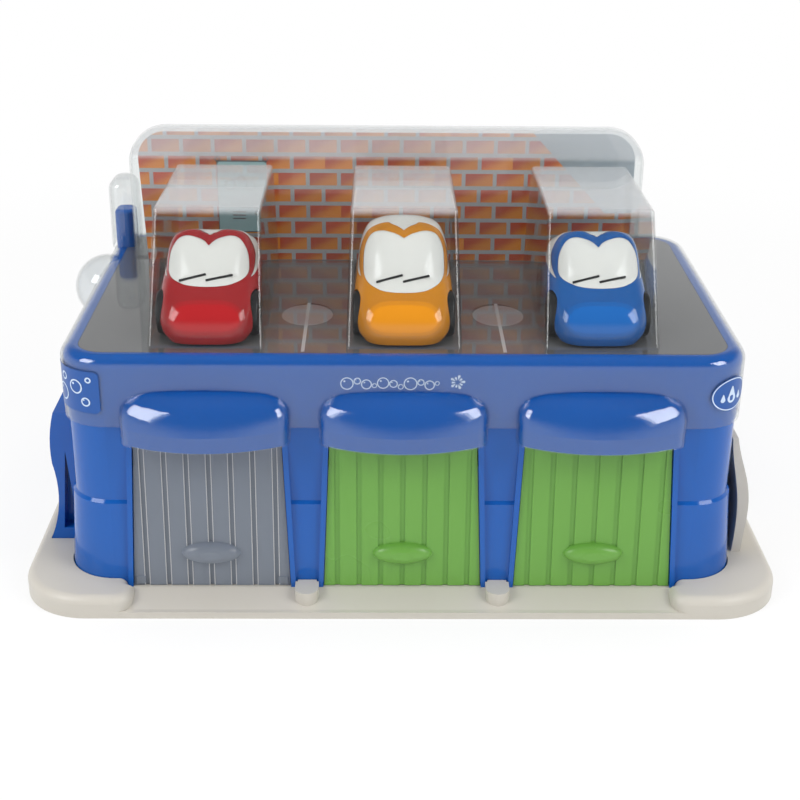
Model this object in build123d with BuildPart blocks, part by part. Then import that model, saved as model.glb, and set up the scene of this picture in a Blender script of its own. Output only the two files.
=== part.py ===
from build123d import *
import os

# Toy car wash playset with three garage bays, three cars and a clear lift-off cover.
# Millimetres, +X right, +Y to the back, +Z up.
# The origin is the centre of the tray's underside, on the floor.

# Shared by all pieces
overrun = 10.0
bay_pitch = 106.5
bay_count = 3
bay_xs = [(index - (bay_count - 1) / 2) * bay_pitch for index in range(bay_count)]
seat_gap = 0.3

# Tray
tray_width = 426.0
tray_depth = 254.0
tray_corner = 38.0
tray_height = 13.0
tray_edge_round = 5.0
tray_floor = 8.6
tray_skin = 2.4
tray_rim_wall = 4.0
tray_rib = 2.4
tray_pocket_columns = 8
tray_pocket_rows = 6
apron_half = 149.6
apron_foot_half = 153.8
apron_nose_start = -111.0
apron_lip = 4.0
apron_nose_round = 9.0
apron_front_land = 3.0
boss_width = 13.0
boss_front = -121.5
boss_height = 12.4
boss_neck_width = 10.6

# Body shell
body_width = 370.0
body_depth = 223.0
body_front = -101.5
body_corner = 24.0
body_top = 144.5
body_wall = 2.6
rim_width = 8.5
rim_round = 6.0
band_bottom = 105.0
upper_inset = 0.8
crease_top = 60.0
crease_bottom = 58.2
crease_outset = 0.6
foot_outset = 4.0
back_inset = 1.4
deck_ledge = 6.0
deck_thickness = 3.0
ledge_thickness = 3.0
partition = 2.0
bay_half = 46.5

# Shallow round dishes in the deck between the cars
dish_half_width = 14.0
dish_half_length = 18.0
dish_depth = 0.6
dish_y = -34.0

# Door frames, as half widths at the foot and at the top, and how far they stand forward
frame_foot_half = 47.0
frame_top_half = 43.3
frame_foot_front = -107.5
frame_top_front = -101.6
frame_top = 104.0
frame_back = -90.0
stop_lip = 2.2

# Doors
door_foot_half = 43.8
door_top_half = 40.2
door_thickness = 2.6
door_foot_front = -106.0
door_top_front = -100.0
door_gap = 0.45
door_foot_gap = 0.4
pivot_z = 94.0
barrel_radius = 2.5
barrel_gap = 0.5
pin_radius = 2.0
pin_length = 2.2
pin_fit = 0.06
slat_pitch = 12.1
slat_groove_width = 2.8
slat_groove_depth = 0.8
slat_count = 8
handle_width = 33.5
handle_height = 13.0
handle_rise = 5.2
handle_centre_above_foot = 20.0
handle_level_shares = ((0, 1.0), (0.45, 0.94), (0.8, 0.72), (1.0, 0.36))
pad_width = 5.0
pad_height = 4.0
pad_rise = 0.7
pad_inset = 1.5

# Hoods over the doors: plan bow, side profile and front arch
hood_half = 44.3
hood_crease_half = 43.2
hood_top_half = 29.0
hood_end_front = -110.0
hood_middle_front = -121.5
hood_plan_round = 8.0
hood_bottom = 98.3
hood_lip_top = 107.0
hood_crease_end = -106.5
hood_crease_front = -115.5
hood_crease_z = 117.6
hood_top_end = -97.5
hood_top_front = -102.6
hood_top = 125.7
hood_edge_round = 2.5

# Side buttress and corner post, both moulded in the body
buttress_front = -60.0
buttress_length = 84.0
buttress_reach = 16.5
buttress_top_reach = 13.5
buttress_foot_reach = 22.0
buttress_waist_reach = 17.0
buttress_top = 94.0
buttress_bulge_z = 62.0
buttress_waist_z = 24.0
groove_top = 70.0
groove_bottom = 20.0
groove_half_width = 4.2
groove_depth = 9.0
groove_axis_inset = 8.0
post_width = 13.0
post_depth = 16.0
post_top = 169.0
post_round = 5.0
post_rim_inset = 1.5
post_back_inset = 18.0

# Clear cover
cover_wall = 0.8
cover_gap = 0.5
skirt_bottom = band_bottom
dome_front = -90.0
dome_foot_width = 62.2
dome_top_width = 58.0
dome_height = 66.3
dome_lean = 35.0
dome_top_depth = 98.4
dome_back_draft = 3.0
dome_drop = 1.8
dome_round = 2.4
dome_base = 147.0
sleeve_front = 59.5
sleeve_depth = 9.0
sleeve_left = -166.5
sleeve_right = 148.5
sleeve_top = 229.5
sleeve_corner = 22.0
hump_width = 18.0
hump_depth = 26.0
hump_top = 190.0
hump_round = 8.0
bulge_y = 62.0
bulge_z = 127.0
bulge_radius = 20.5

# Brick card in the cover's back sleeve
card_left = -162.4
card_width = 306.0
card_bottom = body_top + seat_gap
card_top = 226.0
card_thickness = 0.7
card_corner = 17.0
card_taper = 3.5

# Beige side rail on the right of the tray: reach out from the building's side and height over the tray
rail_front = -74.0
rail_length = 96.0
rail_reach = 14.5
rail_height = 73.0
rail_outer_shares = ((0.89, 0), (0.92, 0.12), (1.0, 0.42), (0.86, 0.62), (0.52, 0.84), (0.32, 1.0))
rail_inner_shares = ((0.51, 0), (0.58, 0.23), (0.52, 0.5), (0.29, 0.75), (0.1, 1.0))
rail_low_share = 0.5
rail_step_shares = (0.45, 0.8)

# Cars
car_length = 95.0
car_half_width = 27.2
car_nose = -87.0
car_height = 52.5
car_clearance = 1.8
wheel_radius = 12.0
wheel_width = 7.4
wheel_outer_half = 27.8
wheel_round = 1.6
wheel_hub_radius = 6.5
wheel_hub_depth = 1.2
wheel_arch_gap = 1.4
wheel_ground_gap = 0.3
wheel_side_gap = 0.8
axle_radius = 1.25
axle_fit = 0.06
axle_press = 0.02
front_axle_from_nose = 23.0
rear_axle_from_nose = 73.0
car_wall = 2.2
cabin_half_width = 25.0
windscreen_gap = 0.12
chassis_height = 13.6

# Values that follow from the ones above
body_centre_y = body_front + body_depth / 2
body_back = body_front + body_depth
tray_front = -tray_depth / 2
deck_top = body_top
deck_bottom = deck_top - deck_thickness
apron_line = frame_foot_front - seat_gap
seat_outset = foot_outset + seat_gap
body_side = body_width / 2
buttress_outer = -body_side - buttress_reach
buttress_top_outer = -body_side - buttress_top_reach
buttress_foot_outer = -body_side - buttress_foot_reach
buttress_waist_outer = -body_side - buttress_waist_reach
door_slope = (door_top_front - door_foot_front) / (pivot_z - tray_floor)
door_foot = tray_floor + door_foot_gap
pivot_y = door_top_front + door_thickness / 2


def door_front_at(height):
    """Y of the doors' outer face at a height."""
    return door_foot_front + door_slope * (height - tray_floor)


def door_half_at(height):
    """Half width of a door at a height."""
    share = (height - tray_floor) / (pivot_z - tray_floor)
    return door_foot_half + (door_top_half - door_foot_half) * share


def body_outline(outset, back_outset=None, mode=Mode.ADD):
    """Rounded outline of the building, moved out by outset, or by back_outset at the back."""
    back = outset if back_outset is None else back_outset
    with Locations((0, body_centre_y + (back - outset) / 2)):
        RectangleRounded(body_width + 2 * outset, body_depth + outset + back, body_corner + outset,
                         mode=mode)


def wall_solid(inset, top_z):
    """The walls' flared form with its crease, drawn in by inset."""
    with BuildPart() as walls:
        for height, outset, back in ((tray_floor, foot_outset, -back_inset),
                                     (crease_bottom, crease_outset, crease_outset),
                                     (crease_top, -upper_inset, -upper_inset),
                                     (top_z, -upper_inset, -upper_inset)):
            with BuildSketch(Plane.XY.offset(height)):
                body_outline(outset - inset, back - inset)
        loft(ruled=True)
    return walls.part


def band_solid(low_z, outset):
    """The straight band round the top of the building, with its rounded rim."""
    with BuildPart() as band:
        with BuildSketch(Plane.XY.offset(low_z)):
            body_outline(outset)
        extrude(amount=body_top + outset - low_z)
        fillet(band.faces().sort_by(Axis.Z)[-1].edges(), rim_round + outset)
    return band.part


def hood_solid(centre_x, outset, bottom):
    """A hood: an upright bowed lip, and a nose that rounds back over it, all moved out by outset."""
    lip_top = hood_lip_top + outset / 2
    with BuildPart() as hood:
        for height, level_half, level_end, level_front in (
                (bottom, hood_half, hood_end_front, hood_middle_front),
                (lip_top, hood_half, hood_end_front, hood_middle_front),
                (hood_crease_z + outset, hood_crease_half, hood_crease_end, hood_crease_front),
                (hood_top + outset, hood_top_half, hood_top_end, hood_top_front)):
            half = level_half + outset
            end_y = level_end - outset
            with BuildSketch(Plane.XY.offset(height)):
                with BuildLine():
                    Polyline((centre_x - half, end_y), (centre_x - half, frame_back),
                             (centre_x + half, frame_back), (centre_x + half, end_y))
                    ThreePointArc((centre_x - half, end_y), (centre_x, level_front - outset),
                                  (centre_x + half, end_y))
                face = make_face()
                fillet(face.vertices().sort_by(Axis.Y)[:2], hood_plan_round + outset)
            if height == bottom:
                extrude(amount=lip_top - bottom)
        loft()
        fillet([edge for edge in hood.faces().sort_by(Axis.Z)[-1].edges()
                if edge.center().Y < frame_back - seat_gap], hood_edge_round + outset)
    return hood.part


def buttress_solid(outset, bottom):
    """The side buttress: its front outline run along the wall."""
    with BuildPart() as buttress:
        with BuildSketch(Plane.XZ.offset(-buttress_front + outset)):
            with BuildLine():
                Polyline((-body_width / 2 + body_wall, bottom), (buttress_foot_outer - outset, bottom),
                         (buttress_foot_outer - outset, tray_height - tray_edge_round / 2))
                ThreePointArc((buttress_foot_outer - outset, tray_height - tray_edge_round / 2),
                              (buttress_waist_outer - outset, buttress_waist_z),
                              (buttress_outer - outset, buttress_bulge_z))
                ThreePointArc((buttress_outer - outset, buttress_bulge_z),
                              (buttress_outer - outset, (buttress_bulge_z + buttress_top) / 2),
                              (buttress_top_outer - outset, buttress_top))
                Polyline((buttress_top_outer - outset, buttress_top),
                         (-body_width / 2 + body_wall, buttress_top),
                         (-body_width / 2 + body_wall, bottom))
            make_face()
        extrude(amount=-(buttress_length + 2 * outset))
    return buttress.part


# Base tray: shoulders round the walls' seat, sloping apron, two bosses and a ribbed underside
buttress_seat = buttress_solid(seat_gap, tray_floor)
with BuildPart() as base_tray:
    with BuildSketch():
        RectangleRounded(tray_width, tray_depth, tray_corner)
        body_outline(seat_outset, seat_gap - back_inset, mode=Mode.SUBTRACT)
        Polygon((-apron_half, tray_front - overrun), (apron_half, tray_front - overrun),
                (apron_half, apron_nose_start), (apron_foot_half, apron_line),
                (apron_foot_half, 0), (-apron_foot_half, 0), (-apron_foot_half, apron_line),
                (-apron_half, apron_nose_start), align=None, mode=Mode.SUBTRACT)
        noses = [vertex for vertex in vertices()
                 if abs(abs(vertex.X) - apron_half) < seat_gap and vertex.Y < tray_front + seat_gap]
        fillet(noses, apron_nose_round)
    extrude(amount=tray_height)
    shoulder_edges = [edge for edge in base_tray.faces().sort_by(Axis.Z)[-1].edges()
                      if abs(edge.center().X) > body_side + seat_outset + seat_gap
                      or edge.center().Y > body_back + seat_outset + seat_gap
                      or edge.center().Y < body_front - seat_outset - seat_gap]
    fillet(shoulder_edges, tray_edge_round)
    with BuildSketch():
        RectangleRounded(tray_width, tray_depth, tray_corner)
        with Locations((0, tray_front)):
            Rectangle(2 * (apron_half + apron_nose_round), 2 * (apron_line - tray_front),
                      mode=Mode.SUBTRACT)
    extrude(amount=tray_floor)
    with BuildSketch(Plane.YZ.offset(-apron_half - apron_nose_round)):
        Polygon((apron_line, 0), (apron_line, tray_floor), (tray_front + apron_front_land, apron_lip),
                (tray_front, apron_lip), (tray_front, 0), align=None)
    extrude(amount=2 * (apron_half + apron_nose_round))
    add(buttress_seat, mode=Mode.SUBTRACT)
    for boss_x in [(low + high) / 2 for low, high in zip(bay_xs, bay_xs[1:])]:
        with BuildSketch(Plane.XY.offset(apron_lip)):
            with Locations((boss_x, frame_foot_front - seat_gap)):
                SlotOverall(2 * (frame_foot_front - seat_gap - boss_front), boss_width, rotation=90)
            with Locations((boss_x, frame_foot_front - seat_gap)):
                Rectangle(boss_width, frame_foot_front - boss_front,
                          align=(Align.CENTER, Align.MIN), mode=Mode.SUBTRACT)
            with Locations((boss_x, frame_foot_front - seat_gap)):
                Rectangle(boss_neck_width, body_front - foot_outset - frame_foot_front,
                          align=(Align.CENTER, Align.MIN))
        extrude(amount=boss_height - apron_lip)
    pocket_x = (tray_width - 2 * tray_corner) / tray_pocket_columns
    pocket_y = (body_depth - 2 * tray_rim_wall) / tray_pocket_rows
    with BuildSketch():
        with GridLocations(pocket_x, pocket_y, tray_pocket_columns, tray_pocket_rows):
            Rectangle(pocket_x - tray_rib, pocket_y - tray_rib)
    extrude(amount=tray_floor - tray_skin, mode=Mode.SUBTRACT)
base_tray.part.label = "base_tray"

# Building shell: drafted walls with a crease, hooded door frames, partitions, buttress and post
hoods = [hood_solid(bay_x, 0, hood_bottom) for bay_x in bay_xs]
buttress = buttress_solid(0, tray_floor)
walls = wall_solid(0, band_bottom + rim_round)
cavity = wall_solid(body_wall, deck_bottom - ledge_thickness)
partition_reach = wall_solid(body_wall - partition / 2, deck_bottom)
band = band_solid(band_bottom, 0)
with BuildPart() as partitions:
    with BuildSketch(Plane.XY.offset(tray_floor)):
        for bay_x in bay_xs:
            for side in (-1, 1):
                with Locations((bay_x + side * (bay_half + partition / 2), body_centre_y)):
                    Rectangle(partition, body_depth + 2 * overrun)
    extrude(amount=deck_bottom - tray_floor)
    add(partition_reach, mode=Mode.INTERSECT)
with BuildPart() as body_shell:
    add(walls)
    add(band)
    for bay_x in bay_xs:
        with BuildSketch(Plane.XY.offset(tray_floor)):
            with Locations((bay_x, frame_foot_front)):
                Rectangle(2 * frame_foot_half, frame_back - frame_foot_front,
                          align=(Align.CENTER, Align.MIN))
        with BuildSketch(Plane.XY.offset(frame_top)):
            with Locations((bay_x, frame_top_front)):
                Rectangle(2 * frame_top_half, frame_back - frame_top_front,
                          align=(Align.CENTER, Align.MIN))
        loft()
    add(hoods)
    add(buttress)
    with BuildSketch(Plane.XY.offset(deck_bottom - ledge_thickness)):
        with Locations((-body_width / 2 + post_rim_inset + post_width / 2,
                        body_back - post_back_inset - post_depth / 2)):
            RectangleRounded(post_width, post_depth, post_round)
    extrude(amount=post_top - deck_bottom + ledge_thickness)
    fillet(body_shell.faces().sort_by(Axis.Z)[-1].edges(), post_round / 2)
    # Hollow inside, with a ledge under the deck
    add(cavity, mode=Mode.SUBTRACT)
    with BuildSketch(Plane.XY.offset(deck_bottom - ledge_thickness)):
        body_outline(-rim_width - deck_ledge)
    extrude(amount=ledge_thickness + deck_thickness + overrun, mode=Mode.SUBTRACT)
    # Partitions make the three bays
    add(partitions.part)
    with BuildSketch(Plane.XY.offset(deck_bottom)):
        body_outline(-rim_width)
        with Locations((-body_width / 2 + post_rim_inset + post_width / 2,
                        body_back - post_back_inset - post_depth / 2)):
            RectangleRounded(post_width, post_depth, post_round, mode=Mode.SUBTRACT)
    extrude(amount=post_top, mode=Mode.SUBTRACT)
    # Doorways: a seat for the door with its barrel, and a narrower way through behind it
    for bay_x in bay_xs:
        for low_shrink, back_y_low, back_y_high in (
                (0, door_front_at(tray_floor) + door_thickness + seat_gap,
                 door_front_at(pivot_z) + door_thickness + seat_gap),
                (stop_lip, frame_back + overrun, frame_back + overrun)):
            top_z = pivot_z if low_shrink == 0 else pivot_z - barrel_radius - barrel_gap
            for height, back_y in ((tray_floor, back_y_low), (top_z, back_y_high)):
                with BuildSketch(Plane.XY.offset(height)):
                    with Locations((bay_x, frame_foot_front - overrun)):
                        Rectangle(2 * (door_half_at(height) + door_gap - low_shrink),
                                  back_y - frame_foot_front + overrun,
                                  align=(Align.CENTER, Align.MIN))
            loft(mode=Mode.SUBTRACT)
        with BuildSketch(Plane.YZ.offset(bay_x - door_half_at(pivot_z) - door_gap)):
            with Locations((pivot_y, pivot_z)):
                Circle(barrel_radius + barrel_gap)
            with Locations((pivot_y, pivot_z)):
                Rectangle(2 * overrun, 2 * (barrel_radius + barrel_gap), align=(Align.MAX, Align.CENTER))
        extrude(amount=2 * (door_half_at(pivot_z) + door_gap), mode=Mode.SUBTRACT)
        with BuildSketch(Plane.YZ.offset(bay_x - door_half_at(pivot_z) - pin_length - seat_gap)):
            with Locations((pivot_y, pivot_z)):
                Circle(pin_radius + pin_fit)
        extrude(amount=2 * (door_half_at(pivot_z) + pin_length + seat_gap), mode=Mode.SUBTRACT)
    # Tall tapering groove in the buttress's front
    groove_x = buttress_outer + groove_axis_inset
    with BuildSketch(Plane.XZ.offset(-buttress_front)):
        Polygon((groove_x, groove_top), (groove_x - groove_half_width, groove_bottom),
                (groove_x + groove_half_width, groove_bottom), align=None)
    extrude(amount=-groove_depth, mode=Mode.SUBTRACT)
body_shell.part.label = "body_shell"

# Grey roof deck, dropped on the ledge, with shallow round parking dishes
with BuildPart() as roof_deck:
    with BuildSketch(Plane.XY.offset(deck_bottom)):
        body_outline(-rim_width - seat_gap)
        with Locations((-body_width / 2 + post_rim_inset + post_width / 2,
                        body_back - post_back_inset - post_depth / 2)):
            RectangleRounded(post_width + 2 * seat_gap, post_depth + 2 * seat_gap,
                             post_round + seat_gap, mode=Mode.SUBTRACT)
    extrude(amount=deck_thickness)
    with BuildSketch(Plane.XY.offset(deck_top)):
        with Locations(*[((low + high) / 2, dish_y) for low, high in zip(bay_xs, bay_xs[1:])]):
            Ellipse(dish_half_width, dish_half_length)
    extrude(amount=-dish_depth, mode=Mode.SUBTRACT)
roof_deck.part.label = "roof_deck"

# Garage door: leaning slatted panel, barrel and pins at the top, domed handle
with BuildPart() as door:
    for height in (door_foot, pivot_z):
        with BuildSketch(Plane.XY.offset(height)):
            with Locations((0, door_front_at(height))):
                Rectangle(2 * door_half_at(height), door_thickness, align=(Align.CENTER, Align.MIN))
    loft()
    groove_xs = [(index - (slat_count - 1) / 2) * slat_pitch + slat_pitch / 2
                 for index in range(slat_count - 1)]
    for groove_x in groove_xs:
        for height in (door_foot - overrun, pivot_z + overrun):
            with BuildSketch(Plane.XY.offset(height)):
                with Locations((groove_x, door_front_at(height) - overrun)):
                    Rectangle(slat_groove_width, slat_groove_depth + overrun,
                              align=(Align.CENTER, Align.MIN))
        loft(mode=Mode.SUBTRACT)
    with BuildSketch(Plane.YZ.offset(-door_half_at(pivot_z))):
        with Locations((pivot_y, pivot_z)):
            Circle(barrel_radius)
    extrude(amount=2 * door_half_at(pivot_z))
    with BuildSketch(Plane.YZ.offset(-door_half_at(pivot_z) - pin_length)):
        with Locations((pivot_y, pivot_z)):
            Circle(pin_radius)
    extrude(amount=2 * (door_half_at(pivot_z) + pin_length))
    handle_z = door_foot + handle_centre_above_foot
    handle_plane = Plane(origin=(0, door_front_at(handle_z) + door_thickness / 2, handle_z),
                         x_dir=(1, 0, 0), z_dir=(0, -1, door_slope))
    for rise_share, size_share in handle_level_shares:
        with BuildSketch(handle_plane.offset(rise_share * (handle_rise + door_thickness / 2))):
            Ellipse(handle_width / 2 * size_share, handle_height / 2 * size_share)
    loft()

# The clear door has two small pads at its foot
with BuildPart() as padded_door:
    add(door.part)
    for side in (-1, 1):
        with BuildSketch(Plane.XY.offset(door_foot + pad_inset)):
            with Locations((side * (door_foot_half - pad_inset - pad_width / 2),
                            door_front_at(door_foot + pad_inset) - pad_rise)):
                Rectangle(pad_width, pad_rise + door_thickness / 2, align=(Align.CENTER, Align.MIN))
        extrude(amount=pad_height)


def dome_solid(centre_x, inset):
    """A car dome: leaning front, drafted sides and a top that falls a little to the back."""
    front_y = dome_front + inset
    top_z = dome_base + dome_height - inset
    back_y = dome_front + dome_lean + dome_top_depth - inset
    foot_half = dome_foot_width / 2 - inset
    top_half = dome_top_width / 2 - inset
    low_z = body_top - deck_thickness if inset else body_top + cover_gap
    with BuildPart() as dome:
        with BuildSketch(Plane.YZ.offset(centre_x - foot_half)):
            with BuildLine():
                Polyline((front_y, low_z), (front_y, dome_base), (front_y + dome_lean, top_z),
                         (back_y, top_z - dome_drop), (back_y + dome_back_draft, low_z),
                         (front_y, low_z))
            make_face()
        extrude(amount=2 * foot_half)
        with BuildSketch(Plane.XZ.offset(-back_y - overrun)):
            Polygon((centre_x - foot_half, low_z), (centre_x + foot_half, low_z),
                    (centre_x + foot_half, dome_base), (centre_x + top_half, top_z),
                    (centre_x - top_half, top_z), (centre_x - foot_half, dome_base), align=None)
        extrude(amount=back_y - front_y + 2 * overrun, mode=Mode.INTERSECT)
        kept_sharp = (low_z, dome_base)
        rounded = [edge for edge in dome.edges()
                   if all(abs(edge.center().Z - level) > seat_gap for level in kept_sharp)]
        fillet(rounded, dome_round - inset)
    return dome.part


def sleeve_solid(inset):
    """The upright back sleeve that holds the card."""
    low_z = body_top - deck_thickness if inset else body_top + cover_gap
    with BuildPart() as sleeve:
        with BuildSketch(Plane.XZ.offset(-sleeve_front - inset)):
            with BuildLine():
                Polyline((sleeve_left + inset, low_z), (sleeve_right - inset, low_z),
                         (sleeve_right - inset, sleeve_top - inset),
                         (sleeve_left + inset, sleeve_top - inset), (sleeve_left + inset, low_z))
            face = make_face()
            fillet(face.vertices().group_by(Axis.Y)[-1], sleeve_corner - inset)
        extrude(amount=-(sleeve_depth - 2 * inset))
    return sleeve.part


def hump_solid(inset):
    """The tall clear hump over the corner post."""
    low_z = body_top - deck_thickness if inset else body_top + cover_gap
    with BuildPart() as hump:
        with BuildSketch(Plane.XY.offset(low_z)):
            with Locations((-body_width / 2 + post_rim_inset + post_width / 2,
                            body_back - post_back_inset - post_depth / 2)):
                RectangleRounded(hump_width - 2 * inset, hump_depth - 2 * inset, hump_round - inset)
        extrude(amount=hump_top - inset - low_z)
        fillet(hump.faces().sort_by(Axis.Z)[-1].edges(), hump_round - 2 * inset - seat_gap)
    return hump.part


def bulge_solid(inset):
    """The round clear bulge on the left side."""
    with BuildPart() as bulge:
        with Locations((-body_width / 2, bulge_y, bulge_z)):
            Sphere(bulge_radius - inset)
    return bulge.part


# Clear lift-off cover, one formed sheet: skirt, hoods, domes, card sleeve, hump and bulge
cover_gaps = (cover_gap + cover_wall, cover_gap)
cover_forms = []
for gap, inset in zip(cover_gaps, (0, cover_wall)):
    low_z = hood_bottom - (overrun if inset else 0)
    forms = [band_solid(low_z if inset else skirt_bottom, gap), sleeve_solid(inset),
             hump_solid(inset), bulge_solid(inset)]
    for bay_x in bay_xs:
        forms.append(hood_solid(bay_x, gap, low_z))
        forms.append(dome_solid(bay_x, inset))
    cover_forms.append(forms)
with BuildPart() as clear_cover:
    add(cover_forms[0])
    add(cover_forms[1], mode=Mode.SUBTRACT)
clear_cover.part.label = "clear_cover"

# Printed card in the sleeve
with BuildPart() as brick_card:
    card_y = sleeve_front + sleeve_depth / 2 - card_thickness / 2
    with BuildSketch(Plane.XZ.offset(-card_y)):
        with BuildLine():
            Polyline((card_left + card_taper, card_bottom), (card_left + card_width, card_bottom),
                     (card_left + card_width, card_top), (card_left, card_top),
                     (card_left + card_taper, card_bottom))
        face = make_face()
        fillet(face.vertices().group_by(Axis.Y)[-1], card_corner)
    extrude(amount=-card_thickness)
brick_card.part.label = "brick_card"

# Beige side rail: its bowed front outline run along the wall, lower at the back
rail_outer = [(body_side + rail_reach * reach, tray_height + rail_height * up)
              for reach, up in rail_outer_shares]
rail_inner = [(body_side + rail_reach * reach, tray_height + rail_height * up)
              for reach, up in rail_inner_shares]
rail_back = rail_front + rail_length
rail_top = tray_height + rail_height
with BuildPart() as side_rail:
    with BuildSketch(Plane.XZ.offset(-rail_front)):
        with BuildLine():
            Spline(*rail_outer)
            Spline(*rail_inner)
            Line(rail_outer[0], rail_inner[0])
            Line(rail_outer[-1], rail_inner[-1])
        make_face()
    extrude(amount=-rail_length)
    with BuildSketch(Plane.YZ.offset(body_side)):
        with BuildLine():
            step_front = (rail_front + rail_length * rail_step_shares[0], rail_top)
            step_back = (rail_front + rail_length * rail_step_shares[1],
                         tray_height + rail_height * rail_low_share)
            low_back = (rail_back, tray_height + rail_height * rail_low_share)
            Polyline(low_back, (rail_back, tray_height), (rail_front, tray_height),
                     (rail_front, rail_top), step_front)
            Spline(step_front, step_back, tangents=((1, 0), (1, 0)))
            Line(step_back, low_back)
        make_face()
    extrude(amount=2 * rail_reach, mode=Mode.INTERSECT)
side_rail.part.label = "side_rail"

# Car, modelled at x = 0 and placed three times
wheel_z = deck_top + wheel_ground_gap + wheel_radius
axle_ys = (car_nose + front_axle_from_nose, car_nose + rear_axle_from_nose)
car_floor = deck_top + car_clearance
car_roof = deck_top + car_height
wheel_inner_half = wheel_outer_half - wheel_width

# Side outline as shares of the length and of the height over the floor
nose_foot_share = 0.012
nose_shares = (0.028, 0.16)
nose_top_shares = (0.115, 0.42)
scuttle_shares = (0.19, 0.575)
screen_shares = (0.285, 0.8)
brow_shares = (0.43, 0.975)
roof_shares = (0.57, 1.0)
roof_end_shares = (0.7, 0.965)
back_light_shares = (0.85, 0.78)
tail_top_shares = (0.94, 0.52)
tail_shares = (1.0, 0.25)
tail_foot_share = 0.975

# Front outline as shares of the half width and of the height over the floor
sill_foot_share = 0.84
sill_bow_shares = (0.965, 0.12)
waist_height_share = 0.3
cabin_height_share = 0.55
cabin_bow_shares = (0.8, 0.88)

# Plan outline as shares of the half width and of the length
plan_nose_shares = (0.78, 0.07)
plan_front_share = 0.27
plan_rear_share = 0.78
plan_tail_shares = (0.8, 0.95)


def car_point(shares, inset=0.0):
    """A point of the side outline from its shares, drawn in by inset towards the middle."""
    along, up = shares
    toward_middle = 1 - 2 * along
    return (car_nose + car_length * along + inset * toward_middle,
            car_floor + (car_roof - car_floor) * up - inset * up)


def car_volume(inset):
    """The car's closed outer form, or the hollow inside it when inset is set."""
    low_z = car_floor - (overrun if inset else 0)
    rise = car_roof - car_floor
    half = car_half_width - inset
    with BuildPart() as volume:
        with BuildSketch(Plane.YZ.offset(-car_half_width)):
            with BuildLine():
                front_foot = (car_point((nose_foot_share, 0), inset)[0], car_floor)
                rear_foot = (car_point((tail_foot_share, 0), inset)[0], car_floor)
                if inset:
                    Polyline(front_foot, (front_foot[0], low_z), (rear_foot[0], low_z), rear_foot)
                else:
                    Line(front_foot, rear_foot)
                ThreePointArc(front_foot, car_point(nose_shares, inset), car_point(nose_top_shares, inset))
                Line(car_point(nose_top_shares, inset), car_point(scuttle_shares, inset))
                ThreePointArc(car_point(scuttle_shares, inset), car_point(screen_shares, inset),
                              car_point(brow_shares, inset))
                ThreePointArc(car_point(brow_shares, inset), car_point(roof_shares, inset),
                              car_point(roof_end_shares, inset))
                ThreePointArc(car_point(roof_end_shares, inset), car_point(back_light_shares, inset),
                              car_point(tail_top_shares, inset))
                ThreePointArc(car_point(tail_top_shares, inset), car_point(tail_shares, inset), rear_foot)
            make_face()
        extrude(amount=2 * car_half_width)
        with BuildSketch(Plane.XZ.offset(-car_nose - car_length - overrun)):
            with BuildLine():
                for sign in (-1, 1):
                    foot = (sign * (car_half_width * sill_foot_share - inset), car_floor)
                    waist = (sign * half, car_floor + rise * waist_height_share)
                    belt = (sign * (cabin_half_width - inset), car_floor + rise * cabin_height_share)
                    if inset:
                        Polyline((0, low_z), (foot[0], low_z), foot)
                    else:
                        Line((0, low_z), foot)
                    ThreePointArc(foot, (sign * (car_half_width * sill_bow_shares[0] - inset),
                                         car_floor + rise * sill_bow_shares[1]), waist)
                    Line(waist, belt)
                    ThreePointArc(belt, (sign * (cabin_half_width * cabin_bow_shares[0] - inset / 2),
                                         car_floor + rise * cabin_bow_shares[1] - inset / 2),
                                  (0, car_roof - inset))
            make_face()
        extrude(amount=car_length + 2 * overrun, mode=Mode.INTERSECT)
        with BuildSketch(Plane.XY.offset(low_z)):
            with BuildLine():
                for sign in (-1, 1):
                    front = (sign * half, car_nose + car_length * plan_front_share)
                    rear = (sign * half, car_nose + car_length * plan_rear_share)
                    ThreePointArc((0, car_nose + inset),
                                  (sign * (car_half_width * plan_nose_shares[0] - inset / 2),
                                   car_nose + car_length * plan_nose_shares[1] + inset), front)
                    Line(front, rear)
                    ThreePointArc(rear, (sign * (car_half_width * plan_tail_shares[0] - inset / 2),
                                         car_nose + car_length * plan_tail_shares[1] - inset),
                                  (0, car_nose + car_length - inset))
            make_face()
        extrude(amount=car_roof - low_z + overrun, mode=Mode.INTERSECT)
    return volume.part


# Outline of the windscreen seen from the front, as shares of the cabin's half width and height
screen_half_share = 0.86
screen_low_share = 0.54
screen_side_share = 0.6
screen_foot_shares = (0.57, 0.56)
screen_bow_shares = (0.8, 0.83)
screen_peak_shares = (0.46, 0.95)
screen_lobe_shares = (0.23, 0.933)
screen_dip_share = 0.875
screen_back_share = 0.43


def windscreen_prism(gap):
    """Prism through the windscreen's outline, with its two low arches, moved out by gap."""
    rise = car_roof - car_floor
    half = cabin_half_width
    with BuildPart() as prism:
        with BuildSketch(Plane.XZ.offset(-car_nose + overrun)):
            with BuildLine():
                for sign in (-1, 1):
                    low = (0, car_floor + rise * screen_low_share - gap)
                    side = (sign * (half * screen_half_share + gap), car_floor + rise * screen_side_share)
                    peak = (sign * half * screen_peak_shares[0],
                            car_floor + rise * screen_peak_shares[1] + gap)
                    dip = (0, car_floor + rise * screen_dip_share + gap)
                    ThreePointArc(low, (sign * half * screen_foot_shares[0],
                                        car_floor + rise * screen_foot_shares[1] - gap), side)
                    ThreePointArc(side, (sign * (half * screen_bow_shares[0] + gap),
                                         car_floor + rise * screen_bow_shares[1] + gap), peak)
                    ThreePointArc(peak, (sign * half * screen_lobe_shares[0],
                                         car_floor + rise * screen_lobe_shares[1] + gap), dip)
            make_face()
        extrude(amount=-(overrun + car_length * screen_back_share))
    return prism.part


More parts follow.
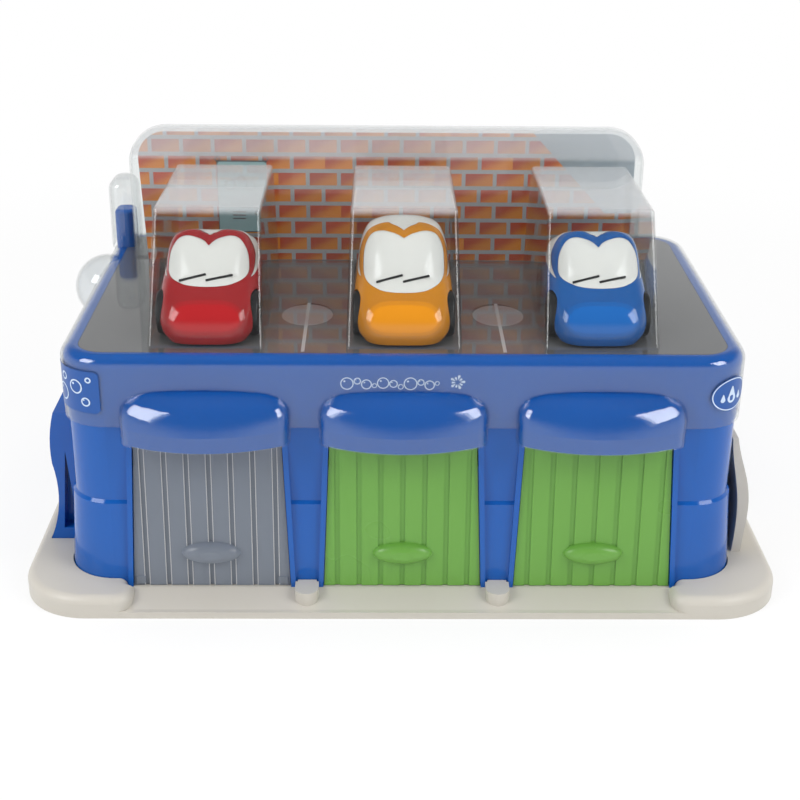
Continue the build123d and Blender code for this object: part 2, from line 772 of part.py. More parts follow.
car_outer = car_volume(0)
car_inner = car_volume(car_wall)
windscreen_hole = windscreen_prism(windscreen_gap)
windscreen_form = windscreen_prism(0)

# Car body: thin moulded shell with wheel arches and a hole for the windscreen
with BuildPart() as car_body:
    add(car_outer)
    add(car_inner, mode=Mode.SUBTRACT)
    add(windscreen_hole, mode=Mode.SUBTRACT)
    for side in (-1, 1):
        arch_inner = side * (wheel_inner_half - wheel_side_gap)
        with BuildSketch(Plane.YZ.offset(arch_inner)):
            with Locations(*[(axle_y, wheel_z) for axle_y in axle_ys]):
                Circle(wheel_radius + wheel_arch_gap)
            with Locations(*[(axle_y, wheel_z - wheel_radius) for axle_y in axle_ys]):
                Rectangle(2 * (wheel_radius + wheel_arch_gap), 2 * wheel_radius)
        extrude(amount=side * overrun, mode=Mode.SUBTRACT)

# Windscreen: moulded insert that fills the hole
with BuildPart() as windscreen:
    add(car_outer)
    add(car_inner, mode=Mode.SUBTRACT)
    add(windscreen_form, mode=Mode.INTERSECT)

# Chassis: fills the foot of the shell between the wheels and carries the two axles
chassis_form = car_volume(car_wall + windscreen_gap)
with BuildPart() as chassis:
    add(chassis_form)
    with Locations((0, car_nose + car_length / 2, car_floor)):
        Box(2 * car_half_width, car_length, chassis_height,
            align=(Align.CENTER, Align.CENTER, Align.MIN), mode=Mode.INTERSECT)
    for side in (-1, 1):
        with BuildSketch(Plane.YZ.offset(side * (wheel_inner_half - wheel_side_gap))):
            with Locations(*[(axle_y, wheel_z) for axle_y in axle_ys]):
                Circle(wheel_radius + wheel_arch_gap)
            with Locations(*[(axle_y, wheel_z - wheel_radius) for axle_y in axle_ys]):
                Rectangle(2 * (wheel_radius + wheel_arch_gap), 2 * wheel_radius)
        extrude(amount=side * overrun, mode=Mode.SUBTRACT)
    with BuildSketch(Plane.YZ.offset(-car_half_width)):
        with Locations(*[(axle_y, wheel_z) for axle_y in axle_ys]):
            Circle(axle_radius + axle_fit)
    extrude(amount=2 * car_half_width, mode=Mode.SUBTRACT)

# Axle and wheel, modelled on the X axis
with BuildPart() as axle:
    with BuildSketch(Plane.YZ.offset(-wheel_outer_half + wheel_hub_depth)):
        Circle(axle_radius)
    extrude(amount=2 * (wheel_outer_half - wheel_hub_depth))

with BuildPart() as wheel:
    with BuildSketch():
        with BuildLine():
            Polyline((wheel_inner_half, axle_radius + axle_press), (wheel_inner_half, wheel_radius),
                     (wheel_outer_half, wheel_radius), (wheel_outer_half, wheel_hub_radius),
                     (wheel_outer_half - wheel_hub_depth, wheel_hub_radius),
                     (wheel_outer_half - wheel_hub_depth, axle_radius + axle_press),
                     (wheel_inner_half, axle_radius + axle_press))
        face = make_face()
        fillet(face.vertices().group_by(Axis.Y)[-1], wheel_round)
    revolve(axis=Axis.X)
wheel_right = wheel.part
wheel_left = wheel.part.mirror(Plane.YZ)


def placed(part, name, x=0.0, y=0.0, z=0.0):
    """A labelled copy of a part, moved to its place."""
    copy = part.moved(Location((x, y, z)))
    copy.label = name
    return copy


pieces = [base_tray.part, body_shell.part, roof_deck.part, clear_cover.part, brick_card.part,
          side_rail.part]
for bay_x, name, form in zip(bay_xs, ("door_left", "door_middle", "door_right"),
                             (padded_door.part, door.part, door.part)):
    pieces.append(placed(form, name, bay_x))
for bay_x, prefix in zip(bay_xs, ("car_1_", "car_2_", "car_3_")):
    pieces.append(placed(car_body.part, prefix + "body", bay_x))
    pieces.append(placed(windscreen.part, prefix + "windscreen", bay_x))
    pieces.append(placed(chassis.part, prefix + "chassis", bay_x))
    for axle_y, end in zip(axle_ys, ("front_", "rear_")):
        pieces.append(placed(axle.part, prefix + end + "axle", bay_x, axle_y, wheel_z))
        pieces.append(placed(wheel_left, prefix + end + "wheel_left", bay_x, axle_y, wheel_z))
        pieces.append(placed(wheel_right, prefix + end + "wheel_right", bay_x, axle_y, wheel_z))

os.makedirs("parts", exist_ok=True)
for piece in pieces:
    export_step(piece, "parts/" + piece.label + ".step")
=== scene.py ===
import logging
import math
from collections.abc import Sequence
from dataclasses import dataclass, field
from enum import Enum

import bmesh
import bpy
from mathutils import Matrix, Vector
from mathutils.bvhtree import BVHTree


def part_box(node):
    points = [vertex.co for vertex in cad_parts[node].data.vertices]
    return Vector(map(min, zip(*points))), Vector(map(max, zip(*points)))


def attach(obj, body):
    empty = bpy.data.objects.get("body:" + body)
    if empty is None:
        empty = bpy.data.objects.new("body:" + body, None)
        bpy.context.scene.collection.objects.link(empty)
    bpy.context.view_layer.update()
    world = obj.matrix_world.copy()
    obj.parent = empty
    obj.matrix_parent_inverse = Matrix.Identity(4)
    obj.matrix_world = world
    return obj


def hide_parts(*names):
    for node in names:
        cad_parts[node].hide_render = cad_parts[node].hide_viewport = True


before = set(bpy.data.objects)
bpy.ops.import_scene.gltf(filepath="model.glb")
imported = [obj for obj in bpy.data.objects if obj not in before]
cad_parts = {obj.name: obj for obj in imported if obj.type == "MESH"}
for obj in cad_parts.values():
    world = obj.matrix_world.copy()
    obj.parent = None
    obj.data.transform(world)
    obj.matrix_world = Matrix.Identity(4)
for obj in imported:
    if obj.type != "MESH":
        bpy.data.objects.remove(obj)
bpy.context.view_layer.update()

# Meshes are made in millimetres in the row frame and scaled to metres once, at the end
MM = 0.001
# Corners of a mesh closer than this, in millimetres, are one
MERGE_MM = 0.001
# An edge stays sharp past this angle, in degrees
SHARP_ANGLE = 35.0
# A noise texture's values lie in this range
NOISE_LOW, NOISE_HIGH = 0.15, 0.85
# Schlick's fit to Fresnel's law grows by this power
SCHLICK_POWER = 5.0
# Sides of a printed glint and of a printed oval
GLINT_SIDES, OVAL_SIDES = 12, 48
log = logging.getLogger("car_wash")


def linear(hex_colour: str) -> tuple[float, float, float, float]:
    """Turns an sRGB hex colour to linear light.

    Args:
        hex_colour: A colour such as "#2e6fc0".

    Returns:
        Red, green and blue in linear light, and an alpha of one.
    """
    channels = [int(hex_colour[start:start + 2], 16) / 255 for start in (1, 3, 5)]
    red, green, blue = (c / 12.92 if c <= 0.04045 else ((c + 0.055) / 1.055) ** 2.4 for c in channels)
    return (red, green, blue, 1.0)


def add_node(tree: bpy.types.NodeTree, kind: str, inputs: dict | None = None, **settings) -> bpy.types.Node:
    """Adds one shader node with its settings and links.

    Args:
        tree: The node tree that takes the node.
        kind: The node's type.
        inputs: Values for its inputs, by name or number. A socket there is linked.
        settings: The node's own settings.

    Returns:
        The new node.
    """
    made = tree.nodes.new(kind)
    for name, value in settings.items():
        setattr(made, name, value)
    for key, value in (inputs or {}).items():
        if isinstance(value, bpy.types.NodeSocket):
            tree.links.new(value, made.inputs[key])
        else:
            made.inputs[key].default_value = value
    return made


def per_metre(spacing_mm: float) -> float:
    """Texture scale, on coordinates in metres, for a pattern with this spacing."""
    return 1 / (spacing_mm * MM)


@dataclass(frozen=True)
class Finish:
    """A material with a name; its subclasses say what it is made of."""

    name: str

    def nodes(self, tree: bpy.types.NodeTree) -> bpy.types.NodeSocket:
        """Adds the finish's nodes and returns the shader socket that shows."""
        raise NotImplementedError

    def material(self) -> bpy.types.Material:
        """Makes the finish's material, once.

        Returns:
            The Blender material of this name.
        """
        known = bpy.data.materials.get(self.name)
        if known is not None:
            return known
        made = bpy.data.materials.new(self.name)
        made.use_nodes = True
        tree = made.node_tree
        tree.nodes.clear()
        surface = self.nodes(tree)
        add_node(tree, "ShaderNodeOutputMaterial", {"Surface": surface})
        return made


@dataclass(frozen=True)
class MouldedPlastic(Finish):
    """Injection-moulded plastic: even colour with a slow drift, and faint ripples from the mould.

    Attributes:
        colour: The plastic's colour.
        drift_colour: The colour it drifts to where the melt flowed.
        roughness: Its mean roughness.
        ior: Its refractive index.
        gloss_drift: The share by which its roughness drifts.
        drift_mm: Spacing of the drift in colour and gloss.
        ripple_mm: Spacing of the mould's ripples.
        ripple_depth_mm: Height of the ripples.
    """

    colour: str
    drift_colour: str
    roughness: float
    ior: float = 1.49
    gloss_drift: float = 0.2
    drift_mm: float = 70.0
    ripple_mm: float = 9.0
    ripple_depth_mm: float = 0.012

    def nodes(self, tree: bpy.types.NodeTree) -> bpy.types.NodeSocket:
        """Adds the drift, the ripples and the shader."""
        place = add_node(tree, "ShaderNodeTexCoord").outputs["Object"]
        drift = add_node(tree, "ShaderNodeTexNoise", {"Vector": place, "Scale": per_metre(self.drift_mm)})
        colour = add_node(tree, "ShaderNodeMix", {"Factor": drift.outputs["Fac"], "A": linear(self.colour),
                                                  "B": linear(self.drift_colour)}, data_type="RGBA")
        gloss = add_node(tree, "ShaderNodeMapRange", {
            "Value": drift.outputs["Fac"], "From Min": NOISE_LOW, "From Max": NOISE_HIGH,
            "To Min": self.roughness * (1 - self.gloss_drift),
            "To Max": self.roughness * (1 + self.gloss_drift)}, interpolation_type="SMOOTHSTEP")
        ripple = add_node(tree, "ShaderNodeTexNoise", {"Vector": place, "Scale": per_metre(self.ripple_mm)})
        bump = add_node(tree, "ShaderNodeBump", {"Height": ripple.outputs["Fac"],
                                                 "Distance": self.ripple_depth_mm * MM})
        return add_node(tree, "ShaderNodeBsdfPrincipled", {
            "Base Color": colour.outputs["Result"], "Roughness": gloss.outputs["Result"],
            "IOR": self.ior, "Normal": bump.outputs["Normal"]}).outputs["BSDF"]


@dataclass(frozen=True)
class FormedSheet(Finish):
    """Thin clear PET sheet, formed over a mould: it mirrors by Fresnel and lets the rest through unbent.

    Attributes:
        tint: What passes through one face of it.
        haze: The share of light that any face scatters.
        top_painted_reflection: That share on the tops: a painted reflection, a flat white diffuse layer
            that stands in for the bright backdrop that the tops mirror.
            top_low_mm, top_high_mm: The heights between which that painted reflection comes in.
        roughness: How soft its reflections are.
        ior: Its refractive index.
        wave_mm: Spacing of the slow waves that forming leaves.
        wave_depth_mm: Height of those waves.
        haze_and_painted_reflection_colour: The colour of its haze, and of the painted reflection on its
            tops.
    """

    tint: str
    haze: float
    roughness: float
    top_painted_reflection: float = 0.22
    top_low_mm: float = 209.0
    top_high_mm: float = 212.5
    ior: float = 1.57
    wave_mm: float = 30.0
    wave_depth_mm: float = 0.04
    haze_and_painted_reflection_colour: str = "#f4f6f8"

    def nodes(self, tree: bpy.types.NodeTree) -> bpy.types.NodeSocket:
        """Adds the clear film, its gloss, its haze and a painted reflection on its tops."""
        head_on = ((self.ior - 1) / (self.ior + 1)) ** 2
        place = add_node(tree, "ShaderNodeTexCoord").outputs["Object"]
        wave = add_node(tree, "ShaderNodeTexNoise", {"Vector": place, "Scale": per_metre(self.wave_mm)})
        bump = add_node(tree, "ShaderNodeBump", {"Height": wave.outputs["Fac"],
                                                 "Distance": self.wave_depth_mm * MM})
        facing = add_node(tree, "ShaderNodeLayerWeight", {"Blend": 0.5}).outputs["Facing"]
        steep = add_node(tree, "ShaderNodeMath", {0: facing, 1: SCHLICK_POWER},
                         operation="POWER").outputs[0]
        mirrored = add_node(tree, "ShaderNodeMapRange", {"Value": steep, "To Min": head_on, "To Max": 1.0})
        clear = add_node(tree, "ShaderNodeBsdfTransparent", {"Color": linear(self.tint)})
        film = add_node(tree, "ShaderNodeBsdfDiffuse", {"Color": linear(self.haze_and_painted_reflection_colour)})
        # Painted reflection: above these heights the haze grows to a flat diffuse white, standing in for
        # the bright backdrop that the tops mirror
        height = add_node(tree, "ShaderNodeSeparateXYZ", {0: place}).outputs["Z"]
        haze_and_painted_top_share = add_node(tree, "ShaderNodeMapRange", {
            "Value": height, "From Min": self.top_low_mm * MM, "From Max": self.top_high_mm * MM,
            "To Min": self.haze, "To Max": self.top_painted_reflection}, interpolation_type="SMOOTHSTEP")
        hazy_with_painted_top = add_node(tree, "ShaderNodeMixShader", {0: haze_and_painted_top_share.outputs["Result"], 1: clear.outputs[0],
                                                      2: film.outputs[0]})
        gloss = add_node(tree, "ShaderNodeBsdfGlossy", {"Roughness": self.roughness,
                                                        "Normal": bump.outputs["Normal"]})
        return add_node(tree, "ShaderNodeMixShader", {0: mirrored.outputs["Result"], 1: hazy_with_painted_top.outputs[0],
                                                      2: gloss.outputs[0]}).outputs[0]


@dataclass(frozen=True)
class SmokyPlastic(Finish):
    """Clear moulded plastic that shows grey: thick enough to veil what is behind it.

    Attributes:
        colour: Its colour.
        cover: The share of what is behind that it hides.
        roughness: Its roughness.
        ior: Its refractive index.
    """

    colour: str
    cover: float
    roughness: float
    ior: float = 1.5

    def nodes(self, tree: bpy.types.NodeTree) -> bpy.types.NodeSocket:
        """Adds a veil that is denser seen at a slant."""
        facing = add_node(tree, "ShaderNodeLayerWeight", {"Blend": 0.5}).outputs["Facing"]
        veil = add_node(tree, "ShaderNodeMapRange", {"Value": facing, "To Min": self.cover, "To Max": 1.0})
        body = add_node(tree, "ShaderNodeBsdfPrincipled", {
            "Base Color": linear(self.colour), "Roughness": self.roughness, "IOR": self.ior})
        clear = add_node(tree, "ShaderNodeBsdfTransparent")
        return add_node(tree, "ShaderNodeMixShader", {0: veil.outputs["Result"], 1: clear.outputs[0],
                                                      2: body.outputs[0]}).outputs[0]


@dataclass(frozen=True)
class PrintedBricks(Finish):
    """Varnished card with a printed brick wall that ends at a slanted edge of plain sky.

    Attributes:
        red: The bricks' upper left.
        orange: The bricks' lower right.
        mortar: The joints.
        sky: The plain corner.
        row_mm, row_gap_mm: Height of a course and of the joint in it.
        brick_mm, brick_gap_mm: Length of a brick with its joint, and of the joint.
        left_mm, foot_mm: Where a joint and a course start.
        sky_foot_mm, sky_left_mm, sky_slope: The slanted edge: its lowest height, its x there and its run.
        single_share: The share of bricks of one length; the others are twice as long.
        tone_low, tone_high: Where the two tones start and stop to blend, across a brick's diagonal.
        shade_low, shade_high: How dark and how pale a brick is printed.
        fibre_mm, fibre_depth_mm: Spacing and height of the card's fibres under the varnish.
        roughness, ior: The varnish.
    """

    red: str = "#c04a26"
    orange: str = "#e28a2c"
    mortar: str = "#acadb0"
    sky: str = "#a3afb8"
    row_mm: float = 10.35
    row_gap_mm: float = 2.5
    brick_mm: float = 19.25
    brick_gap_mm: float = 2.4
    left_mm: float = -239.6
    foot_mm: float = 79.05
    sky_foot_mm: float = 176.0
    sky_left_mm: float = 127.0
    sky_slope: float = 0.93
    single_share: float = 0.86
    tone_low: float = -0.35
    tone_high: float = 0.45
    shade_low: float = 0.86
    shade_high: float = 1.08
    fibre_mm: float = 0.8
    fibre_depth_mm: float = 0.02
    roughness: float = 0.35
    ior: float = 1.5

    def nodes(self, tree: bpy.types.NodeTree) -> bpy.types.NodeSocket:
        """Adds the courses, the bricks' two tones, the sky and the varnish."""
        place = add_node(tree, "ShaderNodeTexCoord").outputs["Object"]
        axes = add_node(tree, "ShaderNodeSeparateXYZ", {0: place}).outputs
        height = add_node(tree, "ShaderNodeMath", {0: axes["Z"], 1: 1 / MM, 2: -self.foot_mm},
                          operation="MULTIPLY_ADD").outputs[0]
        along = add_node(tree, "ShaderNodeMath", {0: axes["X"], 1: 1 / MM, 2: -self.left_mm},
                         operation="MULTIPLY_ADD").outputs[0]
        courses = add_node(tree, "ShaderNodeMath", {0: height, 1: self.row_mm},
                           operation="DIVIDE").outputs[0]
        course = add_node(tree, "ShaderNodeMath", {0: courses}, operation="FLOOR").outputs[0]
        up = add_node(tree, "ShaderNodeMath", {0: courses}, operation="FRACT").outputs[0]
        odd = add_node(tree, "ShaderNodeMath", {0: course, 1: 2.0}, operation="MODULO").outputs[0]
        half = add_node(tree, "ShaderNodeMath", {0: odd, 1: 0.5}, operation="MULTIPLY").outputs[0]
        lengths = add_node(tree, "ShaderNodeMath", {0: along, 1: 1 / self.brick_mm, 2: half},
                           operation="MULTIPLY_ADD").outputs[0]
        brick = add_node(tree, "ShaderNodeMath", {0: lengths}, operation="FLOOR").outputs[0]
        right = add_node(tree, "ShaderNodeMath", {0: lengths}, operation="FRACT").outputs[0]
        which = add_node(tree, "ShaderNodeCombineXYZ", {0: brick, 1: course}).outputs[0]
        chance = add_node(tree, "ShaderNodeTexWhiteNoise", {"Vector": which})
        # A brick that is twice as long has no upright joint
        single = add_node(tree, "ShaderNodeMath", {0: chance.outputs["Value"], 1: self.single_share},
                          operation="LESS_THAN").outputs[0]
        upright = add_node(tree, "ShaderNodeMath", {0: right, 1: 1 - self.brick_gap_mm / self.brick_mm},
                           operation="GREATER_THAN").outputs[0]
        upright = add_node(tree, "ShaderNodeMath", {0: upright, 1: single}, operation="MULTIPLY").outputs[0]
        level = add_node(tree, "ShaderNodeMath", {0: up, 1: 1 - self.row_gap_mm / self.row_mm},
                         operation="GREATER_THAN").outputs[0]
        joint = add_node(tree, "ShaderNodeMath", {0: upright, 1: level}, operation="MAXIMUM").outputs[0]
        # The two tones meet on each brick's diagonal
        slant = add_node(tree, "ShaderNodeMath", {0: right, 1: up}, operation="SUBTRACT").outputs[0]
        tone = add_node(tree, "ShaderNodeMapRange", {"Value": slant, "From Min": self.tone_low,
                                                     "From Max": self.tone_high},
                        interpolation_type="SMOOTHSTEP").outputs["Result"]
        bricks = add_node(tree, "ShaderNodeMix", {"Factor": tone, "A": linear(self.red),
                                                  "B": linear(self.orange)}, data_type="RGBA")
        shade = add_node(tree, "ShaderNodeMapRange", {
            "Value": chance.outputs["Value"], "To Min": self.shade_low,
            "To Max": self.shade_high}).outputs["Result"]
        varied = add_node(tree, "ShaderNodeMix", {"Factor": 1.0, "A": bricks.outputs["Result"], "B": shade},
                          data_type="RGBA", blend_type="MULTIPLY")
        wall = add_node(tree, "ShaderNodeMix", {"Factor": joint, "A": varied.outputs["Result"],
                                                "B": linear(self.mortar)}, data_type="RGBA")
        # The slanted edge of the wall
        over = add_node(tree, "ShaderNodeMath", {0: axes["Z"], 1: 1 / MM, 2: -self.sky_foot_mm},
                        operation="MULTIPLY_ADD").outputs[0]
        edge = add_node(tree, "ShaderNodeMath", {0: over, 1: -self.sky_slope, 2: self.sky_left_mm},
                        operation="MULTIPLY_ADD").outputs[0]
        across = add_node(tree, "ShaderNodeMath", {0: axes["X"], 1: 1 / MM},
                          operation="MULTIPLY").outputs[0]
        beyond = add_node(tree, "ShaderNodeMath", {0: across, 1: edge},
                          operation="GREATER_THAN").outputs[0]
        above = add_node(tree, "ShaderNodeMath", {0: over, 1: 0.0}, operation="GREATER_THAN").outputs[0]
        corner = add_node(tree, "ShaderNodeMath", {0: beyond, 1: above}, operation="MULTIPLY").outputs[0]
        picture = add_node(tree, "ShaderNodeMix", {"Factor": corner, "A": wall.outputs["Result"],
                                                   "B": linear(self.sky)}, data_type="RGBA")
        fibre = add_node(tree, "ShaderNodeTexNoise", {"Vector": place, "Scale": per_metre(self.fibre_mm)})
        bump = add_node(tree, "ShaderNodeBump", {"Height": fibre.outputs["Fac"],
                                                 "Distance": self.fibre_depth_mm * MM})
        return add_node(tree, "ShaderNodeBsdfPrincipled", {
            "Base Color": picture.outputs["Result"], "Roughness": self.roughness, "IOR": self.ior,
            "Normal": bump.outputs["Normal"]}).outputs["BSDF"]


@dataclass(frozen=True)
class PrintInk(Finish):
    """Screen-printed ink on plastic film: flat colour with a faint grain.

    Attributes:
        colour: The ink's colour.
        grain_colour: The colour of its grain.
        roughness: Its roughness.
        grain_mm: Spacing of the grain.
    """

    colour: str
    grain_colour: str
    roughness: float = 0.3
    grain_mm: float = 0.6

    def nodes(self, tree: bpy.types.NodeTree) -> bpy.types.NodeSocket:
        """Adds the grain and the shader."""
        place = add_node(tree, "ShaderNodeTexCoord").outputs["Object"]
        grain = add_node(tree, "ShaderNodeTexNoise", {"Vector": place, "Scale": per_metre(self.grain_mm)})
        colour = add_node(tree, "ShaderNodeMix", {"Factor": grain.outputs["Fac"], "A": linear(self.colour),
                                                  "B": linear(self.grain_colour)}, data_type="RGBA")
        return add_node(tree, "ShaderNodeBsdfPrincipled", {
            "Base Color": colour.outputs["Result"], "Roughness": self.roughness}).outputs["BSDF"]


@dataclass(frozen=True)
class DrawnSteel(Finish):
    """Drawn steel wire: bright, with fine lines along it.

    Attributes:
        colour: The steel's colour.
        roughness: Its roughness.
        line_mm: Spacing of the drawing lines, drawn coarser than real so that they show.
        stretch: How many times longer than wide the lines are.
        gloss_drift: The share by which its roughness changes from line to line.
    """

    colour: str = "#b9bcc0"
    roughness: float = 0.28
    line_mm: float = 0.5
    stretch: float = 50.0
    gloss_drift: float = 0.3

    def nodes(self, tree: bpy.types.NodeTree) -> bpy.types.NodeSocket:
        """Adds the drawing lines and the metal."""
        place = add_node(tree, "ShaderNodeTexCoord").outputs["Object"]
        drawn = add_node(tree, "ShaderNodeMapping", {"Vector": place,
                                                     "Scale": (1 / self.stretch, 1.0, 1.0)})
        lines = add_node(tree, "ShaderNodeTexNoise", {"Vector": drawn.outputs[0],
                                                      "Scale": per_metre(self.line_mm)})
        rough = add_node(tree, "ShaderNodeMapRange", {
            "Value": lines.outputs["Fac"], "To Min": self.roughness * (1 - self.gloss_drift),
            "To Max": self.roughness * (1 + self.gloss_drift)})
        return add_node(tree, "ShaderNodeBsdfPrincipled", {
            "Base Color": linear(self.colour), "Metallic": 1.0,
            "Roughness": rough.outputs["Result"]}).outputs["BSDF"]


class Look(Enum):
    """Every finish on the playset."""

    # Polypropylene, moulded glossy: deep colour and clear highlights
    BLUE_BODY = MouldedPlastic("blue_polypropylene", "#0f5cb2", "#0c54a8", 0.1)
    GREY_DECK = MouldedPlastic("grey_polypropylene", "#6b6a6b", "#656465", 0.14)
    # Polypropylene from a finely etched mould: satin, with soft highlights
    BEIGE_TRAY = MouldedPlastic("beige_polypropylene", "#cbc6bc", "#c5c0b6", 0.36, ripple_mm=3.0)
    GREEN_DOOR = MouldedPlastic("green_polypropylene", "#6ea647", "#68a042", 0.3)
    # Clear polystyrene, moulded thick: it veils what is behind it in grey
    CLEAR_DOOR = SmokyPlastic("clear_polystyrene", "#868e9a", 0.66, 0.16)
    # Polished ABS of the cars: small sharp highlights
    RED_CAR = MouldedPlastic("red_abs", "#ac2529", "#a42125", 0.09, ior=1.53)
    ORANGE_CAR = MouldedPlastic("orange_abs", "#d78c20", "#d1841a", 0.09, ior=1.53)
    BLUE_CAR = MouldedPlastic("blue_abs", "#2363ac", "#1f5ba3", 0.09, ior=1.53)
    WHITE_SCREEN = MouldedPlastic("white_abs", "#efeeea", "#e9e8e3", 0.16, ior=1.53)
    # Black moulded parts: dull, with a faint grey sheen
    BLACK_CHASSIS = MouldedPlastic("black_polypropylene", "#1b1b1d", "#232325", 0.4)
    BLACK_WHEEL = MouldedPlastic("black_soft_pvc", "#161618", "#1d1d1f", 0.45, ior=1.53)
    # Drawn steel wire: the one bright metal
    AXLE = DrawnSteel("drawn_steel")
    # Formed PET sheet: all but unseen head on, and bright where it turns away
    COVER = FormedSheet("clear_pet_sheet", "#fafbfb", 0.003, 0.03)
    # Varnished printed card: soft gloss over two tones of brick
    CARD = PrintedBricks("printed_brick_card")
    # Screen-printed inks: even and satin
    PALE_INK = PrintInk("pale_blue_ink", "#cfe0f5", "#c4d7ee")
    DEEP_INK = PrintInk("deep_blue_ink", "#1b57a6", "#17509c")
    # Pale grey strips: on the deck, and on the clear door, where they are a painted highlight along the
    # slat edges
    PALE_GREY_STRIPE = PrintInk("pale_grey_stripe", "#b9b9ba", "#aeaeb0")
    SPOT_INK = PrintInk("spot_grey_ink", "#939092", "#8d8a8c")
    POSTER_INK = PrintInk("poster_ink", "#a9cdd0", "#a2c7ca")
    LINE_INK = PrintInk("line_ink", "#4b5258", "#555c62")


def dress(node: str, look: Look) -> None:
    """Gives a CAD node its finish.

    Args:
        node: The node's name.
        look: Its finish.
    """
    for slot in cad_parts[node].material_slots:
        slot.material = look.value.material()
    log.info("dressed %s in %s", node, look.value.name)


def make_piece(name: str, mesh: bmesh.types.BMesh, look: Look, body: str) -> bpy.types.Object:
    """Turns a bmesh in millimetres into a finished piece that rides on a body.

    Args:
        name: The piece's name.
        mesh: Its shape, in millimetres in the row frame. It is freed.
        look: Its finish.
        body: The body that it rides on.

    Returns:
        The piece.
    """
    bmesh.ops.remove_doubles(mesh, verts=mesh.verts, dist=MERGE_MM)
    bmesh.ops.recalc_face_normals(mesh, faces=mesh.faces)
    bmesh.ops.scale(mesh, vec=(MM, MM, MM), verts=mesh.verts)
    data = bpy.data.meshes.new(name)
    mesh.to_mesh(data)
    mesh.free()
    for face in data.polygons:
        face.use_smooth = True
    data.set_sharp_from_angle(angle=math.radians(SHARP_ANGLE))
    piece = bpy.data.objects.new(name, data)
    data.materials.append(look.value.material())
    bpy.context.scene.collection.objects.link(piece)
    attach(piece, body)
    log.info("made %s on %s", name, body)
    return piece


def smooth_through(points: Sequence[Sequence[float]], steps: int) -> list[tuple[float, ...]]:
    """Finds points on a smooth curve.

    Args:
        points: What the curve passes through, with any number of values each.
        steps: How many steps lie between two of them.

    Returns:
        The curve's points, both ends included.
    """
    padded = [points[0], *points, points[-1]]
    curve = []
    for start in range(len(points) - 1):
        four = padded[start:start + 4]
        for step in range(steps):
            t = step / steps
            curve.append(tuple(
                0.5 * (2 * b + (c - a) * t + (2 * a - 5 * b + 4 * c - d) * t ** 2
                       + (3 * b - a - 3 * c + d) * t ** 3) for a, b, c, d in zip(*four)))
    curve.append(tuple(points[-1]))
    return curve


def with_modifier(mesh: bmesh.types.BMesh, kind: str, **settings) -> bmesh.types.BMesh:
    """Runs a mesh through one modifier.

    Args:
        mesh: The mesh. It is freed.
        kind: The modifier's type.
        settings: The modifier's own settings.

    Returns:
        What comes out.
    """
    data = bpy.data.meshes.new("work")
    mesh.to_mesh(data)
    mesh.free()
    work = bpy.data.objects.new("work", data)
    bpy.context.scene.collection.objects.link(work)
    modifier = work.modifiers.new("work", kind)
    for key, value in settings.items():
        setattr(modifier, key, value)
    done = bmesh.new()
    done.from_object(work, bpy.context.evaluated_depsgraph_get())
    bpy.data.objects.remove(work)
    bpy.data.meshes.remove(data)
    return done


def combined(mesh: bmesh.types.BMesh, tool: bmesh.types.BMesh, operation: str) -> bmesh.types.BMesh:
    """Cuts a mesh by a closed tool, or keeps what lies within it. The mesh is freed, the tool isn't."""
    data = bpy.data.meshes.new("tool")
    tool.to_mesh(data)
    cutter = bpy.data.objects.new("tool", data)
    bpy.context.scene.collection.objects.link(cutter)
    done = with_modifier(mesh, "BOOLEAN", object=cutter, operation=operation, solver="EXACT")
    bpy.data.objects.remove(cutter)
    bpy.data.meshes.remove(data)
    return done


def push_out(mesh: bmesh.types.BMesh, outline: Sequence[Sequence[float]], way: Sequence[float]) -> None:
    """Adds a solid: a flat outline pushed along a vector."""
    foot = [mesh.verts.new(point) for point in outline]
    head = [mesh.verts.new(Vector(point) + Vector(way)) for point in outline]
    mesh.faces.new(foot)
    mesh.faces.new(head)
    for index, (low, high) in enumerate(zip(foot, head)):
        after = (index + 1) % len(foot)
        mesh.faces.new((low, foot[after], head[after], high))
    bmesh.ops.recalc_face_normals(mesh, faces=mesh.faces)


@dataclass(frozen=True)
class PhotoCamera:
    """The photograph's viewpoint, as fitted to the playset's measured corners.

    Attributes:
        picture_px: Width of the picture in pixels.
        focal_px: Focal length in pixels.
        pitch, yaw, roll: Its angles in degrees: down, to the right and clockwise.
        place_mm: Where it stands in the row frame.
        sensor_mm: Width of the sensor.
        near_m: How near it sees.
    """

    picture_px: float = 800.0
    focal_px: float = 1456.8
    pitch: float = 23.88
    yaw: float = 0.823
    roll: float = 0.544
    place_mm: tuple[float, float, float] = (-12.3, -814.3, 436.7)
    sensor_mm: float = 36.0
    near_m: float = 0.01

    def build(self) -> None:
        """Makes the camera and gives it to the scene."""
        pitch, yaw, roll = (math.radians(angle) for angle in (self.pitch, self.yaw, self.roll))
        ahead = Vector((math.sin(yaw) * math.cos(pitch), math.cos(yaw) * math.cos(pitch),
                        -math.sin(pitch)))
        level = Vector((math.cos(yaw), -math.sin(yaw), 0))
        upright = level.cross(ahead)
        right = level * math.cos(roll) + upright * math.sin(roll)
        up = upright * math.cos(roll) - level * math.sin(roll)
        data = bpy.data.cameras.new("photo_camera")
        data.sensor_width = self.sensor_mm
        data.lens = self.focal_px / self.picture_px * self.sensor_mm
        data.clip_start = self.near_m
        camera = bpy.data.objects.new("photo_camera", data)
        turn = Matrix((right, up, -ahead)).transposed().to_4x4()
        camera.matrix_world = Matrix.Translation(Vector(self.place_mm) * MM) @ turn
        bpy.context.scene.collection.objects.link(camera)
        bpy.context.scene.camera = camera


